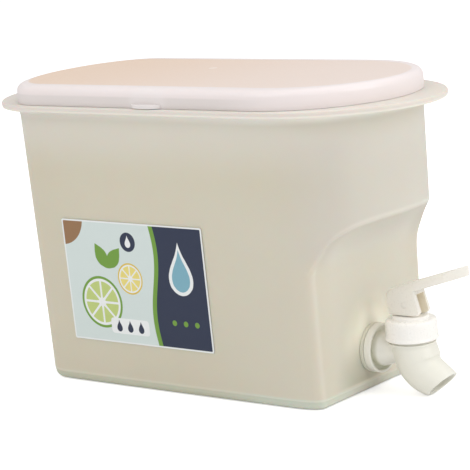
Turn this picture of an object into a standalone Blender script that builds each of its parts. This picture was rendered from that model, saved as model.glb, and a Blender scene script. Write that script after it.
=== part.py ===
"""Counter-top drink dispenser: a drafted oval tank with a press-on lid and a lever tap.

Units are metres. +X runs from the back of the tank to the tap, +Z is up, and the tank stands on Z = 0.
All places below are counted from the tank's own centre line. The last step moves the whole dispenser
so that X = 0 is the middle of its overall length.
"""

import math
from collections import namedtuple

import bmesh
import bpy
from mathutils import Matrix, Vector

# General sizes
GAP = 0.0003
CUT_OVERRUN = 0.002
WELD_DISTANCE = 0.000004
TURNED_SIDES = 40
SHARP_EDGE_ANGLE = math.radians(32)

# Lid
TOTAL_HEIGHT = 0.172
LID_HALF_WIDTH = 0.0595
LID_HALF_LENGTH = 0.124
LID_BACK_ROUND = 0.0355
LID_FRONT_ROUND = 0.0585
LID_SIDE_HEIGHT = 0.0103
LID_WALL = 0.002
LID_EDGE_RADIUS = 0.0047
LID_SIDE_DRAFT = 0.0003
LID_LIP_WALL = 0.0015
LID_LIP_DEPTH = 0.0048
LID_SEAT_DEPTH = 0.0036
LID_FIT = 0.00035
LIFT_TAB_WIDTH = 0.020
LIFT_TAB_BACK_SHIFT = 0.0022
LIFT_TAB_REACH = 0.0034
LIFT_TAB_THICKNESS = 0.0022
LIFT_TAB_ROOT = 0.0012
LIFT_TAB_CORNER = 0.0008

# Tank wall
TANK_BASE_HALF_WIDTH = 0.0525
TANK_BASE_BACK = 0.1176
TANK_BASE_BACK_ROUND = 0.0278
TANK_BASE_FRONT_ROUND = 0.0494
TANK_TOP_HALF_WIDTH = 0.05775
TANK_TOP_BACK = 0.12225
TANK_TOP_BACK_ROUND = 0.0306
TANK_TOP_FRONT_ROUND = 0.0543
TANK_FRONT = 0.1230
TANK_WALL = 0.0022
TANK_FLOOR = 0.0028
TANK_EDGE_RADIUS = 0.0038
TANK_INNER_EDGE_RADIUS = 0.0035
FOOT_WIDTH = 0.0046
FOOT_SLOPE = 0.0004
FOOT_HEIGHT = 0.0012

# Recess in the tank's front, where the tap sits
RECESS_RADIUS = 0.0308
RECESS_SPRING_HEIGHT = 0.0686
RECESS_LIP_RADIUS = 0.0045
RECESS_CREASE = 0.006
RECESS_SWEEP_STEPS = 9
RECESS_LIP_STEPS = 4
RECESS_ROW_RISE = 0.0009

# Rim and carry flange
FLANGE_SIDE_REACH = 0.0031
FLANGE_BACK_REACH = 0.0182
FLANGE_FRONT_REACH = 0.0164
FLANGE_THICKNESS = 0.0026
FLANGE_LIP_DEPTH = 0.0010
FLANGE_LIP_WALL = 0.0020
FLANGE_EDGE_RADIUS = 0.0010
FLANGE_COVE_HEIGHT = 0.0062
LID_TO_FLANGE_GAP = 0.0006
RIM_WALL = 0.0018
RIM_TOP_RADIUS = 0.0005

# Tap body
TAP_HEIGHT = 0.0232
BARREL_REACH = 0.0256
SHANK_RADIUS = 0.00975
SHANK_LENGTH_INSIDE = 0.0125
INLET_BORE_RADIUS = 0.0065
COLLAR_RADIUS = 0.0135
COLLAR_THICKNESS = 0.0044
COLLAR_EDGE_RADIUS = 0.0006
COLLAR_DISH_RADIUS = 0.0120
COLLAR_DISH_DEPTH = 0.0024
ARM_ROOT_RADIUS = 0.0104
ARM_ROOT_LENGTH = 0.0010
ARM_END_RADIUS = 0.0066
ARM_FLARE_LENGTH = 0.0060
ARM_FLARE_POWER = 1.7
ARM_FLARE_STEPS = 7
ARM_DROP = 0.0016
ARM_BORE_RADIUS = 0.0043
ARM_BORE_ENTRY = 0.0022
BARREL_TOP = 0.0290
BARREL_RING_RADIUS = 0.0129
BARREL_RING_THICKNESS = 0.0011
NECK_RADIUS = 0.0116
NECK_HEIGHT = 0.0090
CHAMBER_RADIUS = 0.0098
CHAMBER_FOOT_RADIUS = 0.0086
SEAT_HEIGHT = 0.0208
SEAT_BORE_RADIUS = 0.0046
SEAT_RING_WIDTH = 0.0009
SEAT_RING_HEIGHT = 0.0007
SEAT_BORE_DEPTH = 0.0064
ELBOW_RADIUS = 0.0052
ELBOW_OFFSET = 0.0026
SPOUT_DOWN_ANGLE = math.radians(40)
SPOUT_MOUTH_DOWN_ANGLE = math.radians(49)
SPOUT_MOUTH_REACH = 0.0167
SPOUT_TABLE_CLEARANCE = 0.0005
SPOUT_RADII = (0.0122, 0.0121, 0.0119, 0.0117, 0.0114, 0.0110, 0.0106, 0.0102, 0.0099, 0.0097, 0.0096)
SPOUT_BORE_RADIUS = 0.0080
SPOUT_BORE_LENGTH = 0.0095

# Washers and lock nut
WALL_HOLE_RADIUS = 0.0102
WASHER_RADIUS = 0.0135
WASHER_THICKNESS = 0.0020
NUT_ACROSS_FLATS = 0.0270
NUT_THICKNESS = 0.0070
NUT_FLANGE_RADIUS = 0.0155
NUT_FLANGE_THICKNESS = 0.0018

# Bonnet
BONNET_RADIUS = 0.0140
BONNET_TOP_RADIUS = 0.0139
BONNET_BEAD = 0.0004
BONNET_BEAD_HEIGHT = 0.0014
BONNET_HEIGHT = 0.0112
BONNET_PLATE = 0.0020
BONNET_EDGE_RADIUS = 0.0012
BONNET_PAD_RADIUS = 0.0099
BONNET_PAD_HEIGHT = 0.0018
BONNET_THREAD_FIT = 0.0004

# Stem, seat cup and spring
STEM_RADIUS = 0.0026
STEM_EYE_RADIUS = 0.0034
STEM_EYE_WIDTH = 0.0060
STEM_FOOT_RADIUS = 0.0040
STEM_FOOT_THICKNESS = 0.0015
CUP_PLUG_RADIUS = 0.0066
CUP_PLUG_THICKNESS = 0.0028
CUP_POCKET_LIP = 0.0008
CUP_WALL = 0.0008
CUP_TOP_RADIUS = 0.0090
CUP_FLANGE_RADIUS = 0.0112
CUP_FLANGE_THICKNESS = 0.0010
SPRING_COIL_RADIUS = 0.0046
SPRING_WIRE_RADIUS = 0.0004
SPRING_TURNS = 6
SPRING_POINTS_PER_TURN = 10

# Lever and its pin
PIN_RADIUS = 0.0015
PIN_RISE = 0.0060
LIFT_PER_RADIAN = 0.0050
LEVER_TRAVEL = math.radians(28)
CAM_STEPS = 6
LEVER_HALF_WIDTH = 0.0063
HOOD_TOP_HALF_WIDTH = 0.0050
PADDLE_HALF_WIDTH = 0.0056
CHEEK_BACK_FOOT = 0.0098
HOOD_BACK_STEPS = 7
HOOD_BACK_LOWER_REACH = 0.0136
HOOD_BACK_LOWER_HEIGHT = 0.0005
HOOD_BACK_UPPER_REACH = 0.0146
HOOD_BACK_UPPER_HEIGHT = 0.0066
CHEEK_TOE_REACH = 0.0094
CHEEK_TOE_DROP = 0.0034
LEVER_NECK_REACH = 0.0064
LEVER_NECK_HEIGHT = 0.0077
LEVER_CROWN_BACK = 0.0062
PADDLE_REACH = 0.0384
PADDLE_RISE_ANGLE = math.radians(17.3)
PADDLE_THICKNESS = 0.0052
PADDLE_NOSE_LENGTH = 0.0138
PADDLE_NOSE_ROUND_SHARE = 0.93
PADDLE_NOSE_POWER = 1.6
LEVER_SLICE_SHARES = (0.5, 0.25)
LEVER_EDGE_ROUND = 0.0025
LEVER_EDGE_STEPS = 4
LOWER_EDGE_ROUND_SHARE = 0.25
SLOT_HALF_WIDTH = 0.0034
SLOT_BACK = 0.0060
SLOT_HEIGHT = 0.0058
PADDLE_WEB = 0.0022
PADDLE_SIDE_WALL = 0.0016
PADDLE_HOLLOW_END = 0.0138

# Label sheet on the side of the tank
LABEL_LENGTH = 0.1017
LABEL_HEIGHT = 0.0700
LABEL_CENTRE_X = -0.0261
LABEL_CENTRE_Z = 0.0615
LABEL_THICKNESS = 0.0002

# Heights and places that follow from the sizes above
FLANGE_TOP = TOTAL_HEIGHT - LID_SIDE_HEIGHT - LID_TO_FLANGE_GAP
FLANGE_UNDERSIDE = FLANGE_TOP - FLANGE_THICKNESS
WALL_TOP = FLANGE_UNDERSIDE - FLANGE_COVE_HEIGHT
LID_SEAT = TOTAL_HEIGHT - LID_SEAT_DEPTH
RIM_TOP = LID_SEAT - GAP
RECESS_FACE = TANK_FRONT - RECESS_RADIUS
WASHER_FACE = RECESS_FACE + GAP
COLLAR_BACK = WASHER_FACE + WASHER_THICKNESS + GAP
COLLAR_FRONT = COLLAR_BACK + COLLAR_THICKNESS
INNER_WASHER_FACE = RECESS_FACE - TANK_WALL - GAP
NUT_FACE = INNER_WASHER_FACE - WASHER_THICKNESS - GAP
SHANK_END = RECESS_FACE - TANK_WALL - SHANK_LENGTH_INSIDE
BARREL_X = RECESS_FACE + BARREL_REACH
NECK_TOP = BARREL_TOP + NECK_HEIGHT
SPOUT_MOUTH_X = BARREL_X + SPOUT_MOUTH_REACH
SPOUT_MOUTH_RADIUS = SPOUT_RADII[-1]
SPOUT_MOUTH_Z = SPOUT_TABLE_CLEARANCE + SPOUT_MOUTH_RADIUS * math.cos(SPOUT_MOUTH_DOWN_ANGLE)
CUP_FLANGE_BOTTOM = NECK_TOP + GAP
BONNET_CEILING = CUP_FLANGE_BOTTOM + CUP_FLANGE_THICKNESS + GAP
BONNET_TOP = BONNET_CEILING + BONNET_PLATE
BONNET_RIM = BONNET_TOP - BONNET_HEIGHT
PAD_TOP = BONNET_TOP + BONNET_PAD_HEIGHT
PIN_X = BARREL_X
PIN_Z = PAD_TOP + GAP + PIN_RISE
CUP_BOTTOM = SEAT_HEIGHT + GAP
CUP_INNER_FLOOR = CUP_BOTTOM + CUP_PLUG_THICKNESS
STEM_FOOT_BOTTOM = CUP_INNER_FLOOR + GAP
STEM_FOOT_TOP = STEM_FOOT_BOTTOM + STEM_FOOT_THICKNESS
POCKET_TOP = STEM_FOOT_TOP + GAP + CUP_POCKET_LIP

Plan = namedtuple("Plan", "half_width back front back_round front_round")
BASE_PLAN = Plan(
    TANK_BASE_HALF_WIDTH,
    TANK_BASE_BACK,
    TANK_FRONT,
    TANK_BASE_BACK_ROUND,
    TANK_BASE_FRONT_ROUND,
)
TOP_PLAN = Plan(
    TANK_TOP_HALF_WIDTH,
    TANK_TOP_BACK,
    TANK_FRONT,
    TANK_TOP_BACK_ROUND,
    TANK_TOP_FRONT_ROUND,
)
LID_PLAN = Plan(LID_HALF_WIDTH, LID_HALF_LENGTH, LID_HALF_LENGTH, LID_BACK_ROUND, LID_FRONT_ROUND)
FLANGE_PLAN = Plan(
    LID_HALF_WIDTH + FLANGE_SIDE_REACH,
    LID_HALF_LENGTH + FLANGE_BACK_REACH,
    LID_HALF_LENGTH + FLANGE_FRONT_REACH,
    LID_BACK_ROUND + FLANGE_BACK_REACH,
    LID_FRONT_ROUND + FLANGE_FRONT_REACH,
)

# Angles round each end at which a ring has its points: closer together near the recess's upright edges
FRONT_ANGLES_DEG = (0, 10, 19, 28, 36, 44, 51, 57, 61, 64, 66.5, 68.5, 70.5, 73, 76, 80, 85, 90)
BACK_STEPS = 20


def clear_scene():
    for thing in list(bpy.data.objects):
        bpy.data.objects.remove(thing)


def make_material(name, colour, roughness, metallic=0.0, transmission=0.0):
    material = bpy.data.materials.new(name)
    material.use_nodes = True
    shader = material.node_tree.nodes["Principled BSDF"]
    shader.inputs["Base Color"].default_value = (*colour, 1.0)
    shader.inputs["Roughness"].default_value = roughness
    shader.inputs["Metallic"].default_value = metallic
    shader.inputs["Transmission Weight"].default_value = transmission
    return material


def make_object(name, bm, material=None):
    bmesh.ops.recalc_face_normals(bm, faces=bm.faces)
    mesh = bpy.data.meshes.new(name)
    bm.to_mesh(mesh)
    bm.free()
    thing = bpy.data.objects.new(name, mesh)
    bpy.context.scene.collection.objects.link(thing)
    if material:
        mesh.materials.append(material)
    return thing


def shade(thing):
    thing.data.shade_smooth()
    thing.data.set_sharp_from_angle(angle=SHARP_EDGE_ANGLE)


def combine(target, tool, operation):
    """Applies one Boolean step to target, welds points that fall together, and removes the tool."""
    modifier = target.modifiers.new(operation.title(), "BOOLEAN")
    modifier.operation = operation
    modifier.object = tool
    modifier.solver = "EXACT"
    bpy.context.view_layer.update()
    graph = bpy.context.evaluated_depsgraph_get()
    mesh = bpy.data.meshes.new_from_object(target.evaluated_get(graph))
    bm = bmesh.new()
    bm.from_mesh(mesh)
    bmesh.ops.remove_doubles(bm, verts=bm.verts, dist=WELD_DISTANCE)
    bmesh.ops.dissolve_degenerate(bm, edges=bm.edges, dist=WELD_DISTANCE)
    bm.to_mesh(mesh)
    bm.free()
    target.modifiers.clear()
    target.data = mesh
    bpy.data.objects.remove(tool)


def loft(rings):
    """A closed body through rings of points, with its first and last rings capped."""
    bm = bmesh.new()
    rows = [[bm.verts.new(point) for point in ring] for ring in rings]
    count = len(rows[0])
    for lower, upper in zip(rows, rows[1:]):
        for i in range(count):
            j = (i + 1) % count
            bm.faces.new((lower[i], lower[j], upper[j], upper[i]))
    bm.faces.new(rows[0])
    bm.faces.new(rows[-1])
    return bm


def turned(profile, sides=TURNED_SIDES, closed=False):
    """A turned body about Z. The profile is a list of (radius, height), and a closed one makes a ring."""
    bm = bmesh.new()
    rows = []
    for radius, height in profile:
        if radius == 0:
            rows.append([bm.verts.new((0, 0, height))])
            continue
        ring = []
        for i in range(sides):
            angle = math.tau * i / sides
            ring.append(bm.verts.new((radius * math.cos(angle), radius * math.sin(angle), height)))
        rows.append(ring)
    pairs = list(zip(rows, rows[1:]))
    if closed:
        pairs.append((rows[-1], rows[0]))
    for lower, upper in pairs:
        for i in range(sides):
            j = (i + 1) % sides
            corners = [lower[k % len(lower)] for k in (i, j)]
            corners += [upper[k % len(upper)] for k in (j, i)]
            bm.faces.new(list(dict.fromkeys(corners)))
    return bm


def solid_cylinder(radius, start, end, sides=TURNED_SIDES, end_radius=None):
    """A plain or tapered cylinder between two points."""
    start = Vector(start)
    axis = Vector(end) - start
    top_radius = radius if end_radius is None else end_radius
    bm = turned([(0, 0), (radius, 0), (top_radius, axis.length), (0, axis.length)], sides)
    bm.transform(Matrix.Translation(start) @ axis.to_track_quat("Z", "Y").to_matrix().to_4x4())
    return bm


def block(low, high):
    bm = bmesh.new()
    size = Vector(high) - Vector(low)
    middle = (Vector(high) + Vector(low)) / 2
    bmesh.ops.create_cube(bm, size=1, matrix=Matrix.Translation(middle) @ Matrix.Diagonal((*size, 1)))
    return bm


def inset_plan(plan, inset):
    return Plan(*(size - inset for size in plan))


def mix_plans(first, second, share):
    return Plan(*(a + (b - a) * share for a, b in zip(first, second)))


def wall_plan(height):
    return mix_plans(BASE_PLAN, TOP_PLAN, height / FLANGE_UNDERSIDE)


def soft_minimum(first, second, softness):
    """The smaller of two distances, with the crease between them rounded."""
    overlap = max(softness - abs(first - second), 0) / softness
    return min(first, second) - overlap**2 * softness / 4


def recess_turn(depth):
    """Angle the recess's concave sweep turns before its lip, with the wall this far in front of it."""
    reach = RECESS_RADIUS + RECESS_LIP_RADIUS
    return math.acos(min(max(1 - depth / reach, -1), 1))


def recess_rise(row, depth):
    """Height of one row of points above the foot of the sweep: first along the sweep, then round the lip."""
    turn = recess_turn(depth)
    sweep_share = min(row / RECESS_SWEEP_STEPS, 1)
    rise = RECESS_RADIUS * math.sin(turn * sweep_share)
    lip_share = max(row - RECESS_SWEEP_STEPS, 0) / RECESS_LIP_STEPS
    if lip_share > 0:
        rise = (RECESS_RADIUS + RECESS_LIP_RADIUS) * math.sin(turn)
        rise -= RECESS_LIP_RADIUS * math.sin(turn * (1 - lip_share))
    return max(rise, row * RECESS_ROW_RISE)


def recess_offset(rise, depth, inset):
    """Distance of the recess's wall in front of its upright part, at a rise above the sweep's foot."""
    if rise <= 0:
        return 0
    sweep_radius = RECESS_RADIUS + inset
    lip_radius = RECESS_LIP_RADIUS - inset
    turn = recess_turn(depth)
    lip_top = (sweep_radius + lip_radius) * math.sin(turn)
    if rise < sweep_radius * math.sin(turn):
        return sweep_radius - math.sqrt(sweep_radius**2 - rise**2)
    if rise < lip_top:
        return depth - lip_radius + math.sqrt(lip_radius**2 - (lip_top - rise) ** 2)
    return depth


def oval_point(plan, angle):
    """A point on the plan's front end, at an angle from the +X axis."""
    x = plan.front - plan.front_round + plan.front_round * math.cos(angle)
    return x, plan.half_width * math.sin(angle)


def recess_depth(plan, angle):
    """Where the upright recess stands along X at this angle, and how deep it lies behind the oval."""
    x = oval_point(plan, angle)[0]
    upright = soft_minimum(x, plan.front - RECESS_RADIUS, RECESS_CREASE)
    return upright, x - upright


def recess_ring(row, inset):
    """A ring that follows one row of the recess across the front and runs level round the rest."""
    points = []
    for angle in front_angles():
        guide = inset_plan(wall_plan(RECESS_SPRING_HEIGHT), inset)
        height = RECESS_SPRING_HEIGHT + recess_rise(row, recess_depth(guide, angle)[1])
        points.append(recess_point(inset_plan(wall_plan(height), inset), angle, height, inset))
    height = RECESS_SPRING_HEIGHT + row * RECESS_ROW_RISE
    return points + back_points(inset_plan(wall_plan(height), inset), height)


def recess_point(plan, angle, height, inset):
    upright, depth = recess_depth(plan, angle)
    x = upright + recess_offset(height - RECESS_SPRING_HEIGHT, depth, inset)
    return Vector((x, oval_point(plan, angle)[1], height))


def front_angles():
    """Angles of a ring's points across its front, from the near side to the far side."""
    return [math.radians(-angle) for angle in FRONT_ANGLES_DEG[:0:-1]] + [
        math.radians(angle) for angle in FRONT_ANGLES_DEG
    ]


def back_points(plan, height):
    points = []
    for i in range(BACK_STEPS + 1):
        angle = math.pi / 2 + math.pi * i / BACK_STEPS
        x = -plan.back + plan.back_round + plan.back_round * math.cos(angle)
        points.append(Vector((x, plan.half_width * math.sin(angle), height)))
    return points


def ring(plan, height, recess_inset=None):
    """Points round the oval plan at one height. With an inset, the upright recess flattens its front."""
    points = []
    for angle in front_angles():
        if recess_inset is None:
            x, y = oval_point(plan, angle)
            points.append(Vector((x, y, height)))
        else:
            points.append(recess_point(plan, angle, height, recess_inset))
    return points + back_points(plan, height)


def quarter(steps):
    """Angles from 0 to 90 degrees."""
    return [math.pi / 2 * i / steps for i in range(steps + 1)]


def recess_rings(inset):
    """The rings from the foot of the recess's sweep to the top of its lip."""
    return [recess_ring(row, inset) for row in range(RECESS_SWEEP_STEPS + RECESS_LIP_STEPS + 1)]


def tank_outer_rings():
    rings = []
    foot_inset = TANK_EDGE_RADIUS + FOOT_WIDTH
    rings.append(ring(inset_plan(BASE_PLAN, foot_inset + FOOT_SLOPE), FOOT_HEIGHT, foot_inset + FOOT_SLOPE))
    rings.append(ring(inset_plan(BASE_PLAN, foot_inset), 0, foot_inset))
    for angle in quarter(4):
        inset = TANK_EDGE_RADIUS * (1 - math.sin(angle))
        height = TANK_EDGE_RADIUS * (1 - math.cos(angle))
        rings.append(ring(inset_plan(wall_plan(height), inset), height, inset))
    rings += recess_rings(0)
    rings.append(ring(wall_plan(WALL_TOP), WALL_TOP))
    return rings


def flange_rings():
    """The cove under the flange, its turned-down lip and its top."""
    rings = []
    start = wall_plan(WALL_TOP)
    inner = inset_plan(FLANGE_PLAN, FLANGE_LIP_WALL)
    cove_shares = (0.03, 0.11, 0.26, 0.5)
    for share, angle in zip(cove_shares, quarter(4)[1:]):
        height = WALL_TOP + FLANGE_COVE_HEIGHT * math.sin(angle)
        rings.append(ring(mix_plans(start, inner, share), height))
    rings.append(ring(inner, FLANGE_UNDERSIDE))
    lip_bottom = FLANGE_UNDERSIDE - FLANGE_LIP_DEPTH
    rings.append(ring(inset_plan(FLANGE_PLAN, FLANGE_LIP_WALL - FLANGE_EDGE_RADIUS), lip_bottom))
    for angle in quarter(2):
        inset = FLANGE_EDGE_RADIUS * (1 - math.sin(angle))
        height = lip_bottom + FLANGE_EDGE_RADIUS * (1 - math.cos(angle))
        rings.append(ring(inset_plan(FLANGE_PLAN, inset), height))
    for angle in quarter(3):
        inset = FLANGE_EDGE_RADIUS * (1 - math.cos(angle))
        height = FLANGE_TOP - FLANGE_EDGE_RADIUS * (1 - math.sin(angle))
        rings.append(ring(inset_plan(FLANGE_PLAN, inset), height))
    return rings


def rim_rings():
    """The upright rim inside the lid's skirt."""
    outer = inset_plan(LID_PLAN, LID_WALL + LID_FIT)
    inner = inset_plan(outer, RIM_WALL)
    return [
        ring(outer, FLANGE_TOP),
        ring(outer, RIM_TOP - RIM_TOP_RADIUS),
        ring(inset_plan(outer, RIM_TOP_RADIUS), RIM_TOP),
        ring(inset_plan(inner, -RIM_TOP_RADIUS), RIM_TOP),
        ring(inner, RIM_TOP - RIM_TOP_RADIUS),
        ring(inner, FLANGE_TOP),
    ]


def tank_inner_rings():
    rings = [ring(inset_plan(wall_plan(WALL_TOP), TANK_WALL), WALL_TOP)]
    rings += reversed(recess_rings(TANK_WALL))
    for angle in reversed(quarter(3)):
        inset = TANK_WALL + TANK_INNER_EDGE_RADIUS * (1 - math.sin(angle))
        height = TANK_FLOOR + TANK_INNER_EDGE_RADIUS * (1 - math.cos(angle))
        rings.append(ring(inset_plan(wall_plan(height), inset), height, inset))
    return rings


def make_tank(material):
    bm = loft(tank_outer_rings() + flange_rings() + rim_rings() + tank_inner_rings())
    tank = make_object("tank", bm, material)
    inside = (RECESS_FACE - TANK_WALL - CUT_OVERRUN, 0, TAP_HEIGHT)
    outside = (RECESS_FACE + CUT_OVERRUN, 0, TAP_HEIGHT)
    combine(tank, make_object("wall_hole", solid_cylinder(WALL_HOLE_RADIUS, inside, outside)), "DIFFERENCE")
    return tank


def make_lid(material):
    bottom = TOTAL_HEIGHT - LID_SIDE_HEIGHT
    ceiling = TOTAL_HEIGHT - LID_WALL
    rings = [ring(inset_plan(LID_PLAN, 0), bottom)]
    for angle in quarter(5):
        inset = LID_SIDE_DRAFT + LID_EDGE_RADIUS * (1 - math.cos(angle))
        height = TOTAL_HEIGHT - LID_EDGE_RADIUS * (1 - math.sin(angle))
        rings.append(ring(inset_plan(LID_PLAN, inset), height))
    lip_outer = LID_WALL + LID_FIT + RIM_WALL + LID_FIT
    lip_inner = lip_outer + LID_LIP_WALL
    inside = [
        (lip_inner, ceiling),
        (lip_inner, ceiling - LID_LIP_DEPTH),
        (lip_outer, ceiling - LID_LIP_DEPTH),
        (lip_outer, LID_SEAT),
        (LID_WALL, LID_SEAT),
        (LID_WALL, bottom),
    ]
    inner_rings = [ring(inset_plan(LID_PLAN, inset), height) for inset, height in inside]
    lid = make_object("lid", loft(list(reversed(rings)) + list(reversed(inner_rings))), material)
    combine(lid, make_lift_tab(bottom), "UNION")
    return lid


def make_lift_tab(bottom):
    """The thumb tab that stands out of the lid's near side."""
    near = -LID_HALF_WIDTH
    back = -LIFT_TAB_WIDTH / 2 - LIFT_TAB_BACK_SHIFT
    low = (back, near - LIFT_TAB_REACH, bottom)
    high = (back + LIFT_TAB_WIDTH, near + LIFT_TAB_ROOT, bottom + LIFT_TAB_THICKNESS)
    bm = block(low, high)
    bmesh.ops.bevel(bm, geom=bm.edges[:], offset=LIFT_TAB_CORNER, segments=2, affect="EDGES")
    return make_object("lift_tab", bm)


def neck_profile():
    """The threaded neck and the thin ring below it."""
    return [
        (0, BARREL_TOP - BARREL_RING_THICKNESS),
        (BARREL_RING_RADIUS, BARREL_TOP - BARREL_RING_THICKNESS),
        (BARREL_RING_RADIUS, BARREL_TOP),
        (NECK_RADIUS, BARREL_TOP),
        (NECK_RADIUS, NECK_TOP),
        (0, NECK_TOP),
    ]


def spout_point(distance):
    """A point on the spout's straight axis, at a distance back from the middle of its mouth."""
    along = Vector((-math.cos(SPOUT_DOWN_ANGLE), 0, math.sin(SPOUT_DOWN_ANGLE)))
    return Vector((SPOUT_MOUTH_X, 0, SPOUT_MOUTH_Z)) + along * distance


def barrel_rings():
    """Rings along the barrel's bend, from level under the neck to the slanted mouth."""
    top = Vector((BARREL_X, 0, BARREL_TOP - BARREL_RING_THICKNESS / 2))
    mouth = spout_point(0)
    corner = spout_point((mouth.x - BARREL_X) / math.cos(SPOUT_DOWN_ANGLE))
    last = len(SPOUT_RADII) - 1
    rings = []
    for i, radius in enumerate(SPOUT_RADII):
        share = i / last
        centre = top.lerp(corner, share).lerp(corner.lerp(mouth, share), share)
        run = (corner - top).lerp(mouth - corner, share)
        tilt = math.atan2(run.x, -run.z)
        tilt += (math.pi / 2 - SPOUT_MOUTH_DOWN_ANGLE - tilt) * share**3
        points = []
        for j in range(TURNED_SIDES):
            angle = math.tau * j / TURNED_SIDES
            flat = Vector((radius * math.cos(angle), radius * math.sin(angle), 0))
            points.append(centre + Matrix.Rotation(-tilt, 3, "Y") @ flat)
        rings.append(points)
    return rings


def arm_point(x):
    """A point on the middle line of the sloping arm between the collar and the barrel."""
    return Vector((x, 0, TAP_HEIGHT - ARM_DROP * (x - COLLAR_BACK) / (BARREL_X - COLLAR_BACK)))


def arm_rings():
    """Upright rings of the arm: its round root, and a flare that narrows towards the barrel."""
    flare_start = COLLAR_FRONT + ARM_ROOT_LENGTH
    stations = [((COLLAR_BACK + COLLAR_FRONT - COLLAR_DISH_DEPTH) / 2, ARM_ROOT_RADIUS)]
    for i in range(ARM_FLARE_STEPS + 1):
        share = i / ARM_FLARE_STEPS
        widening = (ARM_ROOT_RADIUS - ARM_END_RADIUS) * (1 - share) ** ARM_FLARE_POWER
        stations.append((flare_start + ARM_FLARE_LENGTH * share, ARM_END_RADIUS + widening))
    stations.append((BARREL_X, ARM_END_RADIUS))
    rings = []
    for x, radius in stations:
        ring_points = []
        for j in range(TURNED_SIDES):
            angle = math.tau * j / TURNED_SIDES
            ring_points.append(arm_point(x) + Vector((0, radius * math.cos(angle), radius * math.sin(angle))))
        rings.append(ring_points)
    return rings


def collar_profile():
    edge = COLLAR_EDGE_RADIUS
    return [
        (0, SHANK_END),
        (SHANK_RADIUS - edge, SHANK_END),
        (SHANK_RADIUS, SHANK_END + edge),
        (SHANK_RADIUS, COLLAR_BACK),
        (COLLAR_RADIUS, COLLAR_BACK),
        (COLLAR_RADIUS, COLLAR_FRONT - edge),
        (COLLAR_RADIUS - edge, COLLAR_FRONT),
        (COLLAR_DISH_RADIUS, COLLAR_FRONT),
        (COLLAR_DISH_RADIUS, COLLAR_FRONT - COLLAR_DISH_DEPTH),
        (0, COLLAR_FRONT - COLLAR_DISH_DEPTH),
    ]


def lay_along_x(bm, height):
    """Turns a body made along Z so that it runs along X at a height."""
    bm.transform(Matrix.Translation((0, 0, height)) @ Matrix.Rotation(math.pi / 2, 4, "Y"))
    return bm


def make_tap_body(material):
    body = make_object("tap_body", loft(barrel_rings()), material)
    neck = turned(neck_profile())
    neck.transform(Matrix.Translation((BARREL_X, 0, 0)))
    combine(body, make_object("neck", neck), "UNION")
    combine(body, make_object("arm", loft(arm_rings())), "UNION")
    collar = lay_along_x(turned(collar_profile()), TAP_HEIGHT)
    combine(body, make_object("collar", collar), "UNION")
    for name, tool in tap_bores():
        combine(body, make_object(name, tool), "DIFFERENCE")
    return body


def tap_bores():
    """The water's way: inlet, valve chamber with its raised seat, elbow and spout."""
    floor = SEAT_HEIGHT - SEAT_RING_HEIGHT
    seat_edge = SEAT_BORE_RADIUS + SEAT_RING_WIDTH
    chamber = turned([
        (0, SEAT_HEIGHT),
        (seat_edge, SEAT_HEIGHT),
        (seat_edge + SEAT_RING_HEIGHT, floor),
        (CHAMBER_FOOT_RADIUS, floor),
        (CHAMBER_RADIUS, BARREL_TOP),
        (CHAMBER_RADIUS, NECK_TOP + CUT_OVERRUN),
        (0, NECK_TOP + CUT_OVERRUN),
    ])
    chamber.transform(Matrix.Translation((BARREL_X, 0, 0)))
    elbow_z = SEAT_HEIGHT - SEAT_BORE_DEPTH
    seat_bottom = (BARREL_X, 0, elbow_z)
    seat_top = (BARREL_X, 0, SEAT_HEIGHT + CUT_OVERRUN)
    elbow = bmesh.new()
    place = Matrix.Translation((BARREL_X + ELBOW_OFFSET, 0, elbow_z))
    bmesh.ops.create_uvsphere(elbow, u_segments=20, v_segments=12, radius=ELBOW_RADIUS, matrix=place)
    inlet_start = (SHANK_END - CUT_OVERRUN, 0, TAP_HEIGHT)
    inlet_end = (COLLAR_BACK, 0, TAP_HEIGHT)
    arm_end = arm_point(BARREL_X - CHAMBER_FOOT_RADIUS + ARM_BORE_ENTRY)
    spout_ends = (spout_point(-CUT_OVERRUN), spout_point(SPOUT_BORE_LENGTH))
    return [
        ("chamber", chamber),
        ("seat_bore", solid_cylinder(SEAT_BORE_RADIUS, seat_bottom, seat_top, sides=24)),
        ("elbow", elbow),
        ("spout_bore", solid_cylinder(SPOUT_BORE_RADIUS, *spout_ends)),
        ("inlet_bore", solid_cylinder(INLET_BORE_RADIUS, inlet_start, inlet_end, sides=28)),
        ("arm_bore", solid_cylinder(ARM_BORE_RADIUS, arm_point(RECESS_FACE), arm_end, sides=28)),
    ]


def make_washer(name, face_x, direction, material):
    """A flat rubber washer, from the tank wall outwards."""
    ends = sorted((face_x, face_x + direction * WASHER_THICKNESS))
    inner = SHANK_RADIUS + GAP
    profile = [(inner, ends[0]), (WASHER_RADIUS, ends[0]), (WASHER_RADIUS, ends[1]), (inner, ends[1])]
    return make_object(name, lay_along_x(turned(profile, closed=True), TAP_HEIGHT), material)


def make_lock_nut(material):
    flange = [
        (0, NUT_FACE - NUT_FLANGE_THICKNESS),
        (NUT_FLANGE_RADIUS, NUT_FACE - NUT_FLANGE_THICKNESS),
        (NUT_FLANGE_RADIUS, NUT_FACE),
        (0, NUT_FACE),
    ]
    nut = make_object("lock_nut", lay_along_x(turned(flange), TAP_HEIGHT), material)
    combine(nut, make_object("hexagon", lay_along_x(nut_hexagon(), TAP_HEIGHT)), "UNION")
    hole_start = (NUT_FACE - NUT_THICKNESS - CUT_OVERRUN, 0, TAP_HEIGHT)
    hole_end = (NUT_FACE + CUT_OVERRUN, 0, TAP_HEIGHT)
    bore = solid_cylinder(SHANK_RADIUS + GAP, hole_start, hole_end)
    combine(nut, make_object("nut_bore", bore), "DIFFERENCE")
    return nut


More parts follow.
